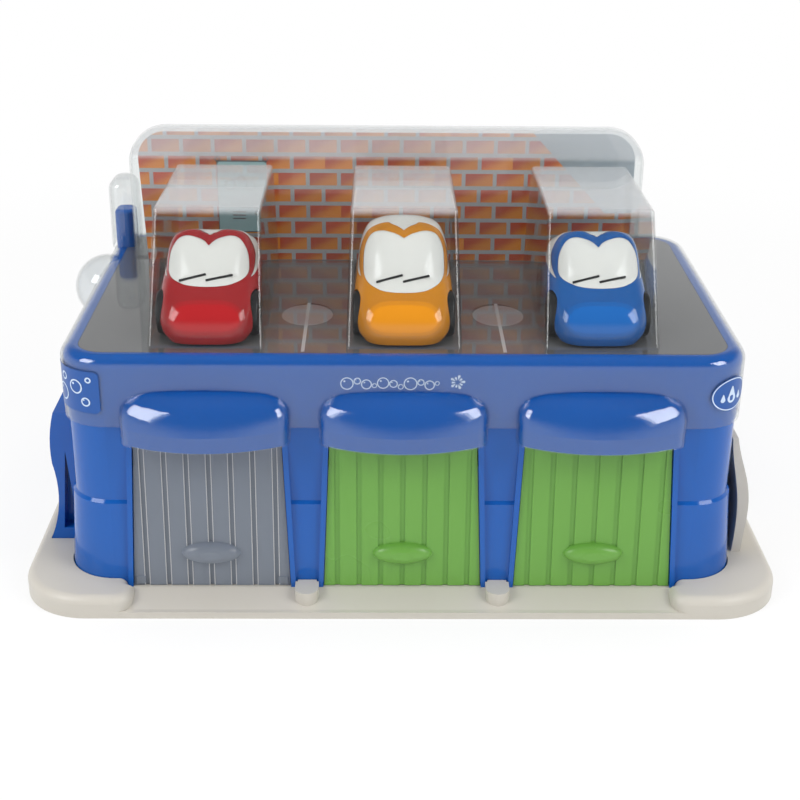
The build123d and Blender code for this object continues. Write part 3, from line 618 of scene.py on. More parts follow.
@dataclass(frozen=True)
class SoftBox:
    """A square studio lamp.

    Attributes:
        name: Its name.
        place_m: Where it hangs.
        aim_m: What it points at.
        size_m: Its width and height.
        power_w: Its power.
        mirrored: Whether glossy surfaces show it.
    """

    name: str
    place_m: tuple[float, float, float]
    aim_m: tuple[float, float, float]
    size_m: tuple[float, float]
    power_w: float
    mirrored: bool = True

    def build(self) -> None:
        """Hangs the lamp."""
        data = bpy.data.lights.new(self.name, "AREA")
        data.shape = "RECTANGLE"
        data.size, data.size_y = self.size_m
        data.energy = self.power_w
        lamp = bpy.data.objects.new(self.name, data)
        lamp.visible_glossy = self.mirrored
        facing = Vector(self.aim_m) - Vector(self.place_m)
        turn = facing.to_track_quat("-Z", "Y").to_matrix().to_4x4()
        lamp.matrix_world = Matrix.Translation(self.place_m) @ turn
        bpy.context.scene.collection.objects.link(lamp)


@dataclass(frozen=True)
class StudioPaper(Finish):
    """White studio paper: it shows as plain white and keeps a light shadow.

    Attributes:
        colour: The paper as lamps light it.
        glow_share: The share that shows as plain white to the camera, mirrors and clear plastic.
        shadow_m, plain_m: How far out the paper shows shadow, and from where it is plain white.
    """

    colour: str = "#f2f2f2"
    glow_share: float = 0.78
    shadow_m: float = 0.35
    plain_m: float = 0.9

    def nodes(self, tree: bpy.types.NodeTree) -> bpy.types.NodeSocket:
        """Adds the paper and the plain white that rays of sight see."""
        rays = add_node(tree, "ShaderNodeLightPath").outputs
        seen = add_node(tree, "ShaderNodeMath", {0: rays["Is Camera Ray"], 1: rays["Is Glossy Ray"]},
                        operation="MAXIMUM").outputs[0]
        seen = add_node(tree, "ShaderNodeMath", {0: seen, 1: rays["Is Transmission Ray"]},
                        operation="MAXIMUM").outputs[0]
        place = add_node(tree, "ShaderNodeTexCoord").outputs["Object"]
        far = add_node(tree, "ShaderNodeVectorMath", {0: place}, operation="LENGTH").outputs["Value"]
        glow_share = add_node(tree, "ShaderNodeMapRange", {
            "Value": far, "From Min": self.shadow_m, "From Max": self.plain_m, "To Min": self.glow_share,
            "To Max": 1.0}, interpolation_type="SMOOTHSTEP").outputs["Result"]
        share = add_node(tree, "ShaderNodeMath", {0: seen, 1: glow_share}, operation="MULTIPLY").outputs[0]
        paper = add_node(tree, "ShaderNodeBsdfDiffuse", {"Color": linear(self.colour)})
        glow = add_node(tree, "ShaderNodeEmission", {"Color": (1.0, 1.0, 1.0, 1.0), "Strength": 1.0})
        return add_node(tree, "ShaderNodeMixShader", {0: share, 1: paper.outputs[0],
                                                      2: glow.outputs[0]}).outputs[0]


@dataclass
class Studio:
    """The pale floor, the lamps and the sky round the playset.

    Attributes:
        floor_half_m: Half the floor's width.
        sky_low, sky_high: How bright the world is at the horizon and overhead.
        rise_low, rise_high: How far up the one ends and the other starts; 1 is overhead.
        lamps: The soft boxes.
    """

    floor_half_m: float = 6.0
    sky_low: float = 0.95
    sky_high: float = 0.12
    rise_low: float = 0.1
    rise_high: float = 0.6
    lamps: Sequence[SoftBox] = field(default_factory=lambda: (
        SoftBox("soft_box_left", (-1.05, -0.75, 1.0), (0, 0, 0.1), (0.7, 0.7), 9.5),
        SoftBox("soft_box_right", (1.05, -0.75, 1.0), (0, 0, 0.1), (0.7, 0.7), 9.5),
        SoftBox("soft_box_top", (0, 0.1, 1.7), (0, 0, 0.1), (1.8, 1.4), 21.0, mirrored=False),
    ))

    def build(self) -> None:
        """Lays the floor, hangs the lamps and fills in the world."""
        mesh = bmesh.new()
        bmesh.ops.create_grid(mesh, x_segments=1, y_segments=1, size=self.floor_half_m)
        data = bpy.data.meshes.new("floor")
        mesh.to_mesh(data)
        mesh.free()
        data.materials.append(StudioPaper("studio_paper").material())
        floor = bpy.data.objects.new("floor", data)
        bpy.context.scene.collection.objects.link(floor)
        for lamp in self.lamps:
            lamp.build()
        world = bpy.data.worlds.new("studio")
        bpy.context.scene.world = world
        world.use_nodes = True
        tree = world.node_tree
        tree.nodes.clear()
        way = add_node(tree, "ShaderNodeTexCoord").outputs["Generated"]
        rise = add_node(tree, "ShaderNodeSeparateXYZ", {0: way}).outputs["Z"]
        sky = add_node(tree, "ShaderNodeMapRange", {
            "Value": rise, "From Min": self.rise_low, "From Max": self.rise_high, "To Min": self.sky_low,
            "To Max": self.sky_high}, interpolation_type="SMOOTHSTEP").outputs["Result"]
        rays = add_node(tree, "ShaderNodeLightPath").outputs
        seen = add_node(tree, "ShaderNodeMath", {0: rays["Is Camera Ray"], 1: rays["Is Transmission Ray"]},
                        operation="MAXIMUM").outputs[0]
        strength = add_node(tree, "ShaderNodeMix", {"Factor": seen, "A": sky, "B": 1.0}, data_type="FLOAT")
        glow = add_node(tree, "ShaderNodeBackground", {"Color": (1.0, 1.0, 1.0, 1.0),
                                                       "Strength": strength.outputs["Result"]})
        add_node(tree, "ShaderNodeOutputWorld", {"Surface": glow.outputs[0]})


@dataclass(frozen=True)
class BandPath:
    """The building's upper band, seen from above as a path round its corners.

    Attributes:
        half_width, front, corner: The band's half width, its front face and its corner radius.
    """

    half_width: float = 185.0
    front: float = -101.5
    corner: float = 24.0

    def wrap(self, mesh: bmesh.types.BMesh, lift: float) -> None:
        """Bends a flat drawing round the band.

        Args:
            mesh: A drawing in the XZ plane, with x measured along the band from its middle.
            lift: How far it stands off the band.
        """
        straight = self.half_width - self.corner
        for vertex in mesh.verts:
            along, depth, height = vertex.co
            side = math.copysign(1, along)
            turn = max(0.0, abs(along) - straight) / self.corner
            reach = self.corner + lift - depth
            bent = min(turn, math.pi / 2)
            past = (turn - bent) * self.corner
            across = min(abs(along), straight) + reach * math.sin(bent)
            back = self.front + self.corner - reach * math.cos(bent) + past
            vertex.co = (side * across, back, height)


def draw_disc(mesh: bmesh.types.BMesh, x: float, z: float, radius: float, segments: int = 24,
              height: float = 0.0) -> list[bmesh.types.BMVert]:
    """Draws a filled disc or oval in the XZ plane.

    Args:
        mesh: The drawing.
        x, z: The middle.
        radius: The radius across.
        segments: How many sides it has.
        height: The radius upwards, if not the same.

    Returns:
        Its vertices.
    """
    facing = Matrix.Translation((x, 0, z)) @ Matrix.Rotation(math.pi / 2, 4, "X")
    verts = bmesh.ops.create_circle(mesh, cap_ends=True, radius=radius, segments=segments,
                                    matrix=facing)["verts"]
    if height:
        bmesh.ops.scale(mesh, vec=(1, 1, height / radius), verts=verts,
                        space=Matrix.Translation((-x, 0, -z)))
    return verts


def draw_ring(mesh: bmesh.types.BMesh, x: float, z: float, radius: float, line: float, height: float = 0.0,
              segments: int = 36) -> None:
    """Draws a round or oval outline in the XZ plane.

    Args:
        mesh: The drawing.
        x, z: The middle.
        radius: The outline's outer radius across.
        line: The width of the line.
        height: The outer radius upwards, if not the same.
        segments: How many sides it has.
    """
    face = draw_disc(mesh, x, z, radius, segments, height)[0].link_faces[0]
    bmesh.ops.inset_individual(mesh, faces=[face], thickness=line, use_even_offset=True)
    bmesh.ops.delete(mesh, geom=[face], context="FACES")


def draw_bubble(mesh: bmesh.types.BMesh, x: float, z: float, radius: float, line: float,
                glint: tuple[float, float, float]) -> None:
    """Draws a ring with a small round glint in it.

    Args:
        mesh: The drawing.
        x, z: The middle.
        radius: The ring's outer radius.
        line: The width of the line.
        glint: The glint's place across and up and its radius, as shares of the ring's radius.
    """
    across, up, size = glint
    draw_ring(mesh, x, z, radius, line)
    draw_disc(mesh, x + radius * across, z + radius * up, radius * size, GLINT_SIDES)


def draw_drop(mesh: bmesh.types.BMesh, x: float, z: float, radius: float, angle: float = 0.0,
              tail: float = 2.2, pinch: float = 0.35) -> None:
    """Draws a water drop in the XZ plane, with its tail turned by an angle from upright.

    Args:
        mesh: The drawing.
        x, z: The middle of the round end.
        radius: The round end's radius.
        angle: The turn in degrees, clockwise.
        tail: How many radii the tail reaches from the middle.
        pinch: The share by which the sides draw in towards the tail.
    """
    verts = draw_disc(mesh, x, z, radius)
    for vertex in verts:
        rise = max(0.0, (vertex.co.z - z) / radius)
        vertex.co.z = z + (vertex.co.z - z) * (1 + (tail - 1) * rise ** 2)
        vertex.co.x = x + (vertex.co.x - x) * (1 - pinch * rise)
    turn = Matrix.Rotation(math.radians(angle), 3, "Y")
    bmesh.ops.rotate(mesh, verts=verts, cent=(x, 0, z), matrix=turn)


def cut_upright(mesh: bmesh.types.BMesh, left: float, right: float, strip: float = 2.0) -> None:
    """Cuts a flat drawing into upright strips between left and right, so that it can bend."""
    cuts = max(1, round((right - left) / strip))
    for cut in range(1, cuts):
        where = left + (right - left) * cut / cuts
        whole = [geometry for part in (mesh.verts, mesh.edges, mesh.faces) for geometry in part]
        bmesh.ops.bisect_plane(mesh, geom=whole, plane_co=(where, 0, 0), plane_no=(1, 0, 0))


def draw_plate(mesh: bmesh.types.BMesh, low: tuple[float, float], high: tuple[float, float],
               rounding: float, strip: float = 2.0) -> None:
    """Draws a filled rectangle with round corners, cut into strips so that it can bend.

    Args:
        mesh: The drawing.
        low, high: Its lower left and upper right corners.
        rounding: The corners' radius.
        strip: The width of the strips.
    """
    corners = [(low[0], low[1]), (high[0], low[1]), (high[0], high[1]), (low[0], high[1])]
    verts = [mesh.verts.new((x, 0, z)) for x, z in corners]
    mesh.faces.new(verts)
    if rounding:
        bmesh.ops.bevel(mesh, geom=verts, offset=rounding, offset_type="OFFSET", segments=6, profile=0.5,
                        affect="VERTICES", material=-1)
    cut_upright(mesh, low[0], high[0], strip)


@dataclass
class Building:
    """The blue shell, its tray, deck and side rail, with what is printed on them.

    Attributes:
        band: The upper band's path.
        label_lift: How far a printed label stands off the plastic.
        print_left, print_right, print_z: Where the front print starts and ends, and its middle height.
        bubble_radii: The radii of the printed bubbles, in turn.
        bubble_turn, bubble_room: How the bubbles rise and fall: an angle in radians for each, and the share
            of the free height that they use.
        print_line, line_share: The width of a bubble's line, and its largest share of the radius.
        glint: A bubble's glint.
        spray_middle, spray_drops, spray_turn: The printed splash: its middle, drops and turn in degrees.
        spray_rings: Reach from the middle and radius of its even drops, and of its odd ones.
        spray_tail: Length of a drop's tail in radii.
        lane_x: How far a pale grey lane stripe is from the middle.
        lane_front, lane_back, lane_width: Its ends and width.
        lane_lift, lane_depth: How far its middle is over the deck, and its thickness.
        spot_y, spot_half: The middle of a lane's oval spot, and its half width and half length.
        spot_lift: How far the spot is over the deck.
    """

    band: BandPath = BandPath()
    label_lift: float = 0.12
    print_left: float = -34.0
    print_right: float = 19.0
    print_z: float = 130.6
    bubble_radii: tuple[float, ...] = (3.6, 2.0, 2.9, 1.4, 3.3, 2.3, 1.6, 3.7, 1.9, 2.8, 1.3)
    bubble_turn: float = 1.9
    bubble_room: float = 0.9
    print_line: float = 0.62
    line_share: float = 0.3
    glint: tuple[float, float, float] = (-0.38, 0.36, 0.16)
    spray_middle: tuple[float, float] = (28.5, 131.6)
    spray_drops: int = 10
    spray_turn: float = 14.0
    spray_rings: tuple[tuple[float, float], ...] = ((3.4, 0.78), (2.6, 0.62))
    spray_tail: float = 2.6
    lane_x: float = 54.3
    lane_front: float = -91.0
    lane_back: float = -15.5
    lane_width: float = 1.9
    lane_lift: float = 0.06
    lane_depth: float = 0.1
    spot_y: float = -35.0
    spot_half: tuple[float, float] = (14.5, 17.0)
    spot_lift: float = 0.03

    def build(self) -> None:
        """Dresses the shell, tray, deck and rail, and adds the prints."""
        dress("base_tray", Look.BEIGE_TRAY)
        dress("side_rail", Look.BEIGE_TRAY)
        dress("body_shell", Look.BLUE_BODY)
        dress("roof_deck", Look.GREY_DECK)
        self.front_print()
        for side, name in ((-1, "left"), (1, "right")):
            self.lane(side, "deck_lane_" + name)
            self.spot(side, "deck_spot_" + name)

    def front_print(self) -> None:
        """A row of bubbles that ends in a splash of drops."""
        mesh = bmesh.new()
        free = self.print_right - self.print_left - 2 * sum(self.bubble_radii)
        gap = free / (len(self.bubble_radii) - 1)
        x = self.print_left
        for index, radius in enumerate(self.bubble_radii):
            room = (max(self.bubble_radii) - radius) * self.bubble_room
            z = self.print_z + math.sin(index * self.bubble_turn) * room
            line = min(self.print_line, radius * self.line_share)
            draw_bubble(mesh, x + radius, z, radius, line, self.glint)
            x += 2 * radius + gap
        middle_x, middle_z = self.spray_middle
        for index in range(self.spray_drops):
            angle = 360 * index / self.spray_drops + self.spray_turn
            reach, radius = self.spray_rings[index % 2]
            drop_x = middle_x + reach * math.sin(math.radians(angle))
            drop_z = middle_z + reach * math.cos(math.radians(angle))
            draw_drop(mesh, drop_x, drop_z, radius, angle + 180, self.spray_tail)
        self.band.wrap(mesh, self.label_lift)
        make_piece("front_print", mesh, Look.PALE_INK, "playset")

    def lane(self, side: int, name: str) -> None:
        """A pale grey stripe on the deck, along a lane.

        Args:
            side: -1 for the left lane, 1 for the right.
            name: The piece's name.
        """
        mesh = bmesh.new()
        place = Matrix.Translation((side * self.lane_x, (self.lane_front + self.lane_back) / 2,
                                    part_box("roof_deck")[1].z / MM + self.lane_lift))
        size = Matrix.Diagonal((self.lane_width, self.lane_back - self.lane_front, self.lane_depth, 1))
        bmesh.ops.create_cube(mesh, size=1.0, matrix=place @ size)
        make_piece(name, mesh, Look.PALE_GREY_STRIPE, "playset")

    def spot(self, side: int, name: str) -> None:
        """A painted pale oval under a lane line.

        Args:
            side: -1 for the left lane, 1 for the right.
            name: The piece's name.
        """
        mesh = bmesh.new()
        place = Matrix.Translation((side * self.lane_x, self.spot_y,
                                    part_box("roof_deck")[1].z / MM + self.spot_lift))
        size = Matrix.Diagonal((*self.spot_half, 1, 1))
        bmesh.ops.create_circle(mesh, cap_ends=True, radius=1.0, segments=OVAL_SIDES, matrix=place @ size)
        make_piece(name, mesh, Look.SPOT_INK, "playset")


@dataclass
class Cover:
    """The clear cover with its stickers, the printed card in its sleeve, and the poster on the card.

    Attributes:
        band: The path of the band that the cover's skirt follows.
        skirt_outset: How far the skirt's face stands off that band.
        label_lift: How far a sticker stands off the skirt, and its print off the sticker.
        sticker_low, sticker_high: The left corner's sticker, along the band and up.
        sticker_rounding, sticker_line: Its corners' radius, and the width of its bubbles' lines.
        sticker_bubbles: Its bubbles' places across and up, as shares of its size, and their radii.
        glint: A bubble's glint.
        patch_middle, patch_half: The right corner's oval, along the band and up.
        patch_inset, patch_line: Where its outline is inside its edge, and the outline's width.
        patch_drops: Each drop's place across and up from its middle, its radius and tail in radii.
        poster_low, poster_high: The poster's lower left and upper right corners.
        edge_line, head_line, head_reach: Width of its edges' lines, of its head's, and how far that reaches
            past the sheet.
        rows, row_low, row_size, row_pitch: Its printed rows: how many, the first one's corner from the
            poster's, their length and height, and their spacing.
        poster_bubbles, bubble_line: Its bubbles' places from its corner and radii, and their lines' width.
        peg_inset, peg_rise, peg_half, peg_line: Its two pegs' places, half width and height, and line.
        poster_strip, bar_strip: The width of the strips that the sheet and its bars are cut into.
        gap: How far the print stands off the card.
    """

    band: BandPath = BandPath()
    skirt_outset: float = 1.3
    label_lift: float = 0.12
    sticker_low: tuple[float, float] = (-197.0, 112.6)
    sticker_high: tuple[float, float] = (-162.0, 136.8)
    sticker_rounding: float = 3.0
    sticker_line: float = 0.8
    sticker_bubbles: tuple[tuple[float, float, float], ...] = (
        (0.3, 0.36, 5.0), (0.62, 0.6, 4.1), (0.78, 0.27, 2.6), (0.36, 0.76, 2.4), (0.84, 0.8, 1.7))
    glint: tuple[float, float, float] = (-0.38, 0.38, 0.17)
    patch_middle: tuple[float, float] = (177.0, 123.6)
    patch_half: tuple[float, float] = (12.6, 9.6)
    patch_inset: float = 0.4
    patch_line: float = 0.6
    patch_drops: tuple[tuple[float, ...], ...] = (
        (0.0, -2.0, 3.0, 2.3), (-5.8, -2.4, 1.5, 2.2), (5.8, -2.4, 1.5, 2.2))
    poster_low: tuple[float, float] = (-113.8, 163.2)
    poster_high: tuple[float, float] = (-83.2, 207.6)
    edge_line: float = 0.5
    head_line: float = 0.8
    head_reach: float = 0.4
    rows: int = 3
    row_low: tuple[float, float] = (9.0, 8.0)
    row_size: tuple[float, float] = (8.0, 0.7)
    row_pitch: float = 2.1
    poster_bubbles: tuple[tuple[float, float, float], ...] = (
        (8.0, 30.0, 3.4), (15.0, 33.5, 2.2), (20.5, 29.0, 2.9), (24.0, 12.0, 1.5))
    bubble_line: float = 0.45
    peg_inset: float = 0.6
    peg_rise: float = 1.6
    peg_half: tuple[float, float] = (1.9, 2.6)
    peg_line: float = 0.5
    poster_strip: float = 8.0
    bar_strip: float = 60.0
    gap: float = 0.06

    def build(self) -> None:
        """Dresses the cover and the card, and adds the stickers and the poster."""
        dress("clear_cover", Look.COVER)
        dress("brick_card", Look.CARD)
        self.corner_sticker()
        self.corner_patch()
        self.poster()

    def label(self, name: str, mesh: bmesh.types.BMesh, look: Look, layer: int) -> None:
        """Bends a flat drawing round the skirt and makes it a piece.

        Args:
            name: The piece's name.
            mesh: The drawing.
            look: Its ink.
            layer: 1 for a sticker and 2 for the print on it.
        """
        self.band.wrap(mesh, self.skirt_outset + layer * self.label_lift)
        make_piece(name, mesh, look, "cover")

    def corner_sticker(self) -> None:
        """A deep blue sticker with bubbles, bent round the left corner."""
        mesh = bmesh.new()
        draw_plate(mesh, self.sticker_low, self.sticker_high, self.sticker_rounding)
        self.label("corner_sticker", mesh, Look.DEEP_INK, 1)
        mesh = bmesh.new()
        left, foot = self.sticker_low
        right, head = self.sticker_high
        for share_x, share_z, radius in self.sticker_bubbles:
            draw_bubble(mesh, left + (right - left) * share_x, foot + (head - foot) * share_z, radius,
                        self.sticker_line, self.glint)
        self.label("corner_sticker_bubbles", mesh, Look.PALE_INK, 2)

    def corner_patch(self) -> None:
        """A deep blue oval with a pale outline round three drops, on the right corner."""
        mesh = bmesh.new()
        x, z = self.patch_middle
        half_x, half_z = self.patch_half
        draw_disc(mesh, x, z, half_x, OVAL_SIDES, half_z)
        cut_upright(mesh, x - half_x, x + half_x)
        self.label("corner_patch", mesh, Look.DEEP_INK, 1)
        mesh = bmesh.new()
        draw_ring(mesh, x, z, half_x - self.patch_inset, self.patch_line, half_z - self.patch_inset,
                  OVAL_SIDES)
        for across, up, radius, tail in self.patch_drops:
            draw_drop(mesh, x + across, z + up, radius, 0.0, tail)
        self.label("corner_patch_drops", mesh, Look.PALE_INK, 2)

    def poster(self) -> None:
        """A small pale sheet with lines and bubbles, pegged up on the wall."""
        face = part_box("brick_card")[0].y / MM - self.gap
        sheet = bmesh.new()
        draw_plate(sheet, self.poster_low, self.poster_high, 0.0, self.poster_strip)
        bmesh.ops.translate(sheet, verts=sheet.verts, vec=(0, face, 0))
        make_piece("card_poster", sheet, Look.POSTER_INK, "cover")
        lines = bmesh.new()
        left, foot = self.poster_low
        right, head = self.poster_high
        bars = [((left - self.head_reach, head), (right + self.head_reach, head + self.head_line)),
                ((left, foot), (left + self.edge_line, head)),
                ((left, foot - self.edge_line), (right, foot))]
        for row in range(self.rows):
            low_x, low_z = left + self.row_low[0], foot + self.row_low[1] + row * self.row_pitch
            bars.append(((low_x, low_z), (low_x + self.row_size[0], low_z + self.row_size[1])))
        for low, high in bars:
            draw_plate(lines, low, high, 0.0, self.bar_strip)
        for peg_x in (left + self.peg_inset, right - self.peg_inset):
            draw_ring(lines, peg_x, head + self.peg_rise, self.peg_half[0], self.peg_line,
                      self.peg_half[1], 4)
        for across, up, radius in self.poster_bubbles:
            draw_ring(lines, left + across, foot + up, radius, self.bubble_line)
        bmesh.ops.translate(lines, verts=lines.verts, vec=(0, face - self.gap, 0))
        make_piece("card_poster_lines", lines, Look.LINE_INK, "cover")


@dataclass
class Doors:
    """The three slatted doors; the left one is clear, with raised ribs whose pale colour is a painted
    highlight along its slat edges.

    Attributes:
        rib_pitch: Spacing of the slats.
        rib_gap: Width of the channel between two slats.
        rib_count: How many channels there are.
        rib_width, rib_rise: The pale rib's width, its colour a painted highlight, and how far it stands
            proud.
        foot_front, top_front, foot_z, top_z: The door's leaning face.
        bay_x: The middle of the left bay.
    """

    rib_pitch: float = 12.1
    rib_gap: float = 2.8
    rib_count: int = 7
    rib_width: float = 0.45
    rib_rise: float = 0.12
    foot_front: float = -106.0
    top_front: float = -100.0
    foot_z: float = 8.6
    top_z: float = 94.0
    bay_x: float = -106.5

    def build(self) -> None:
        """Dresses the doors and adds the clear door's raised ribs, whose pale colour is a painted highlight
        along its slat edges.
        """
        dress("door_left", Look.CLEAR_DOOR)
        dress("door_middle", Look.GREEN_DOOR)
        dress("door_right", Look.GREEN_DOOR)
        # Painted highlight: the ribs' pale grey stands in for the light that the clear slats bend at their
        # edges
        mesh = bmesh.new()
        lean = math.atan2(self.top_front - self.foot_front, self.top_z - self.foot_z)
        length = (self.top_z - self.foot_z) / math.cos(lean)
        middle = (self.foot_front + self.top_front) / 2
        for index in range(self.rib_count):
            centre = (index - (self.rib_count - 1) / 2) * self.rib_pitch
            for side in (-1, 1):
                matrix = (Matrix.Translation((self.bay_x + centre + side * self.rib_gap / 2, middle,
                                              (self.foot_z + self.top_z) / 2))
                          @ Matrix.Rotation(-lean, 4, "X")
                          @ Matrix.Diagonal((self.rib_width, 2 * self.rib_rise, length, 1)))
                bmesh.ops.create_cube(mesh, size=1.0, matrix=matrix)
        make_piece("door_left_highlight_ribs", mesh, Look.PALE_GREY_STRIPE, "door_left")


@dataclass(frozen=True)
class CarMould:
    """A toy car's outer form: rounded plan outlines stacked from its sill to its roof, at x = 0.

    Attributes:
        roof_z: Height of its roof.
        roof_dip: Depth of the dip in the roof's front.
        nose_y, length: Where its nose is, and how long it is.
        floor_z, low_roof_z: Heights of its sill and of the low cars' roof.
        half_width, cabin_half: Half widths of the body and of the cabin.
        wall: The shell's thickness.
        fit: The gap between two of its pieces.
        hoop: The width of the hoop round the windscreen.
        dip_half: Half width of the roof's dip.
        wheel_radius, wheel_z, wheel_inner: The wheels' size with room, height and inner side.
        wheel_ys: Where the axles are.
        sides, steps: How many sides an outline has, and steps between two of the outlines.
        arch_steps: How many sides a wheel arch has.
        scuttle_share: Height of the windscreen's foot, up to which all cars are alike.
        belt_share: Height from which the cabin is a piece of its own.
        reach_share: How far back the windscreen and its hoop reach.
        dip_shares: The heights and the lengths between which the roof's dip comes and goes.
        dip_slope: How steeply the hoop's outer edge runs down into the dip.
        level_shares: Each outline's height, front, rear and half width, and how square it is.
        roof_shares: The same over the windscreen's middle.
        screen_shares: The windscreen's outline, across the cabin and up, from its foot to its dip.
    """

    roof_z: float
    roof_dip: float
    nose_y: float = -87.0
    length: float = 95.0
    floor_z: float = 146.3
    low_roof_z: float = 197.0
    half_width: float = 27.2
    cabin_half: float = 25.0
    wall: float = 1.4
    fit: float = 0.15
    hoop: float = 2.5
    dip_half: float = 5.0
    wheel_radius: float = 13.0
    wheel_z: float = 156.8
    wheel_inner: float = 18.8
    wheel_ys: tuple[float, float] = (-64.0, -14.0)
    sides: int = 96
    steps: int = 6
    arch_steps: int = 24
    scuttle_share: float = 0.56
    belt_share: float = 0.57
    reach_share: float = 0.52
    dip_shares: tuple[float, float, float, float] = (0.86, 0.97, 0.5, 0.62)
    dip_slope: float = 0.4
    level_shares: tuple[tuple[float, ...], ...] = (
        (0.0, 0.012, 0.975, 0.88, 4.2), (0.1, 0.004, 0.99, 0.97, 4.8), (0.24, 0.018, 1.0, 1.0, 5.0),
        (0.38, 0.066, 0.985, 1.0, 4.4), (0.5, 0.135, 0.945, 0.97, 3.7), (0.6, 0.2, 0.915, 0.925, 3.2),
        (0.72, 0.25, 0.87, 0.895, 3.0))
    roof_shares: tuple[tuple[float, ...], ...] = (
        (0.84, 0.31, 0.815, 0.82, 2.9), (0.93, 0.375, 0.75, 0.7, 2.8), (0.985, 0.44, 0.67, 0.46, 2.5),
        (1.0, 0.5, 0.6, 0.14, 2.2))
    screen_shares: tuple[tuple[float, float], ...] = (
        (0.0, 0.545), (0.3, 0.55), (0.57, 0.565), (0.84, 0.605), (0.87, 0.7), (0.82, 0.82), (0.68, 0.92),
        (0.47, 0.955), (0.22, 0.935), (0.0, 0.875))

    def level(self, share: float) -> float:
        """Height of a share: all bonnets are alike, and the cabin over them takes the rest."""
        scuttle_z = self.floor_z + (self.low_roof_z - self.floor_z) * self.scuttle_share
        if share <= self.scuttle_share:
            return self.floor_z + (scuttle_z - self.floor_z) * share / self.scuttle_share
        over = (share - self.scuttle_share) / (1 - self.scuttle_share)
        return scuttle_z + (self.roof_z - scuttle_z) * over

    def dip(self, x: float, y: float, up: float) -> float:
        """How far the roof's front dips at a place."""
        low, high, front, back = self.dip_shares
        rising = min(1.0, max(0.0, (up - low) / (high - low)))
        along = (y - self.nose_y) / self.length
        ahead = min(1.0, max(0.0, (back - along) / (back - front)))
        return self.roof_dip * rising * ahead * math.exp(-(x / self.dip_half) ** 2)

    def shell(self) -> bmesh.types.BMesh:
        """The whole car as one thin shell, open below."""
        mesh = bmesh.new()
        rings = []
        levels = smooth_through(self.level_shares + self.roof_shares, self.steps)
        for up, front, rear, half, power in levels:
            middle = self.nose_y + self.length * (front + rear) / 2
            reach = self.length * (rear - front) / 2
            ring = []
            for index in range(self.sides):
                turn = 2 * math.pi * index / self.sides
                ahead, across = math.sin(turn), math.cos(turn)
                out = (abs(ahead) ** power + abs(across) ** power) ** (-1 / power)
                x = self.half_width * half * out * across
                y = middle + reach * out * ahead
                ring.append(mesh.verts.new((x, y, self.level(up) - self.dip(x, y, up))))
            rings.append(ring)
        for low, high in zip(rings, rings[1:]):
            for index in range(self.sides):
                after = (index + 1) % self.sides
                mesh.faces.new((low[index], low[after], high[after], high[index]))
        mesh.faces.new(rings[-1])
        bmesh.ops.recalc_face_normals(mesh, faces=mesh.faces)
        return with_modifier(mesh, "SOLIDIFY", thickness=self.wall, offset=-1.0, use_even_offset=True)

    def screen_prism(self, grow: float) -> bmesh.types.BMesh:
        """The windscreen's outline, grown and pushed from before the nose to behind the hoop."""
        right = [(self.cabin_half * across, self.level(up))
                 for across, up in smooth_through(self.screen_shares, self.steps)]
        grown = []
        for index, (x, z) in enumerate(right):
            before, after = right[max(index - 1, 0)], right[min(index + 1, len(right) - 1)]
            along = Vector((after[0] - before[0], after[1] - before[1])).normalized()
            moved = (x + along.y * grow, z - along.x * grow)
            if moved[0] > self.fit or index == 0:
                grown.append((max(moved[0], 0.0), moved[1]))
        top = grown[-1]
        grown.append((0.0, top[1] - top[0] * self.dip_slope))
        left = [(-x, z) for x, z in reversed(grown[1:-1])]
        start = self.nose_y - self.wall
        mesh = bmesh.new()
        push_out(mesh, [(x, start, z) for x, z in grown + left], (0, self.length * self.reach_share, 0))
        return mesh

    def cabin_block(self, fit: float) -> bmesh.types.BMesh:
        """All that lies over the belt and outside the hoop."""
        low, high = self.level(self.belt_share) + fit, self.roof_z + self.half_width
        front, back = self.nose_y - self.half_width, self.nose_y + self.length + self.half_width
        mesh = bmesh.new()
        outline = [(-self.half_width * 2, y, z) for y, z in ((front, low), (back, low), (back, high),
                                                             (front, high))]
        push_out(mesh, outline, (4 * self.half_width, 0, 0))
        hoop = self.screen_prism(self.hoop + fit)
        return combined(mesh, hoop, "DIFFERENCE")

    def arches(self) -> bmesh.types.BMesh:
        """The room for the four wheels."""
        mesh = bmesh.new()
        for side in (-1, 1):
            for wheel_y in self.wheel_ys:
                foot = self.floor_z - self.wheel_radius
                outline = [(wheel_y + self.wheel_radius, foot), (wheel_y - self.wheel_radius, foot)]
                for index in range(self.arch_steps + 1):
                    turn = math.pi * (1 - index / self.arch_steps)
                    outline.append((wheel_y + self.wheel_radius * math.cos(turn),
                                    self.wheel_z + self.wheel_radius * math.sin(turn)))
                push_out(mesh, [(side * self.wheel_inner, y, z) for y, z in outline],
                         (side * self.half_width, 0, 0))
        return mesh

    def pieces(self) -> dict[str, bmesh.types.BMesh]:
        """The painted body with its hoop, the white windscreen and the white cabin behind the hoop."""
        shell = self.shell()
        body = combined(shell.copy(), self.cabin_block(0.0), "DIFFERENCE")
        body = combined(body, self.screen_prism(self.fit), "DIFFERENCE")
        body = combined(body, self.arches(), "DIFFERENCE")
        screen = combined(shell.copy(), self.screen_prism(0.0), "INTERSECT")
        cabin = combined(shell, self.cabin_block(self.fit), "INTERSECT")
        return {"shell": body, "screen": screen, "cabin": cabin}


# The low cars' roofs fall away behind the hoop, so that little of them shows over it
LOW_ROOF_SHARES = ((0.84, 0.31, 0.7, 0.82, 2.9), (0.93, 0.375, 0.59, 0.7, 2.8),
                   (0.985, 0.43, 0.5, 0.46, 2.5), (1.0, 0.455, 0.475, 0.14, 2.2))
LOW_CAR = CarMould(roof_z=197.6, roof_dip=3.4, roof_shares=LOW_ROOF_SHARES)
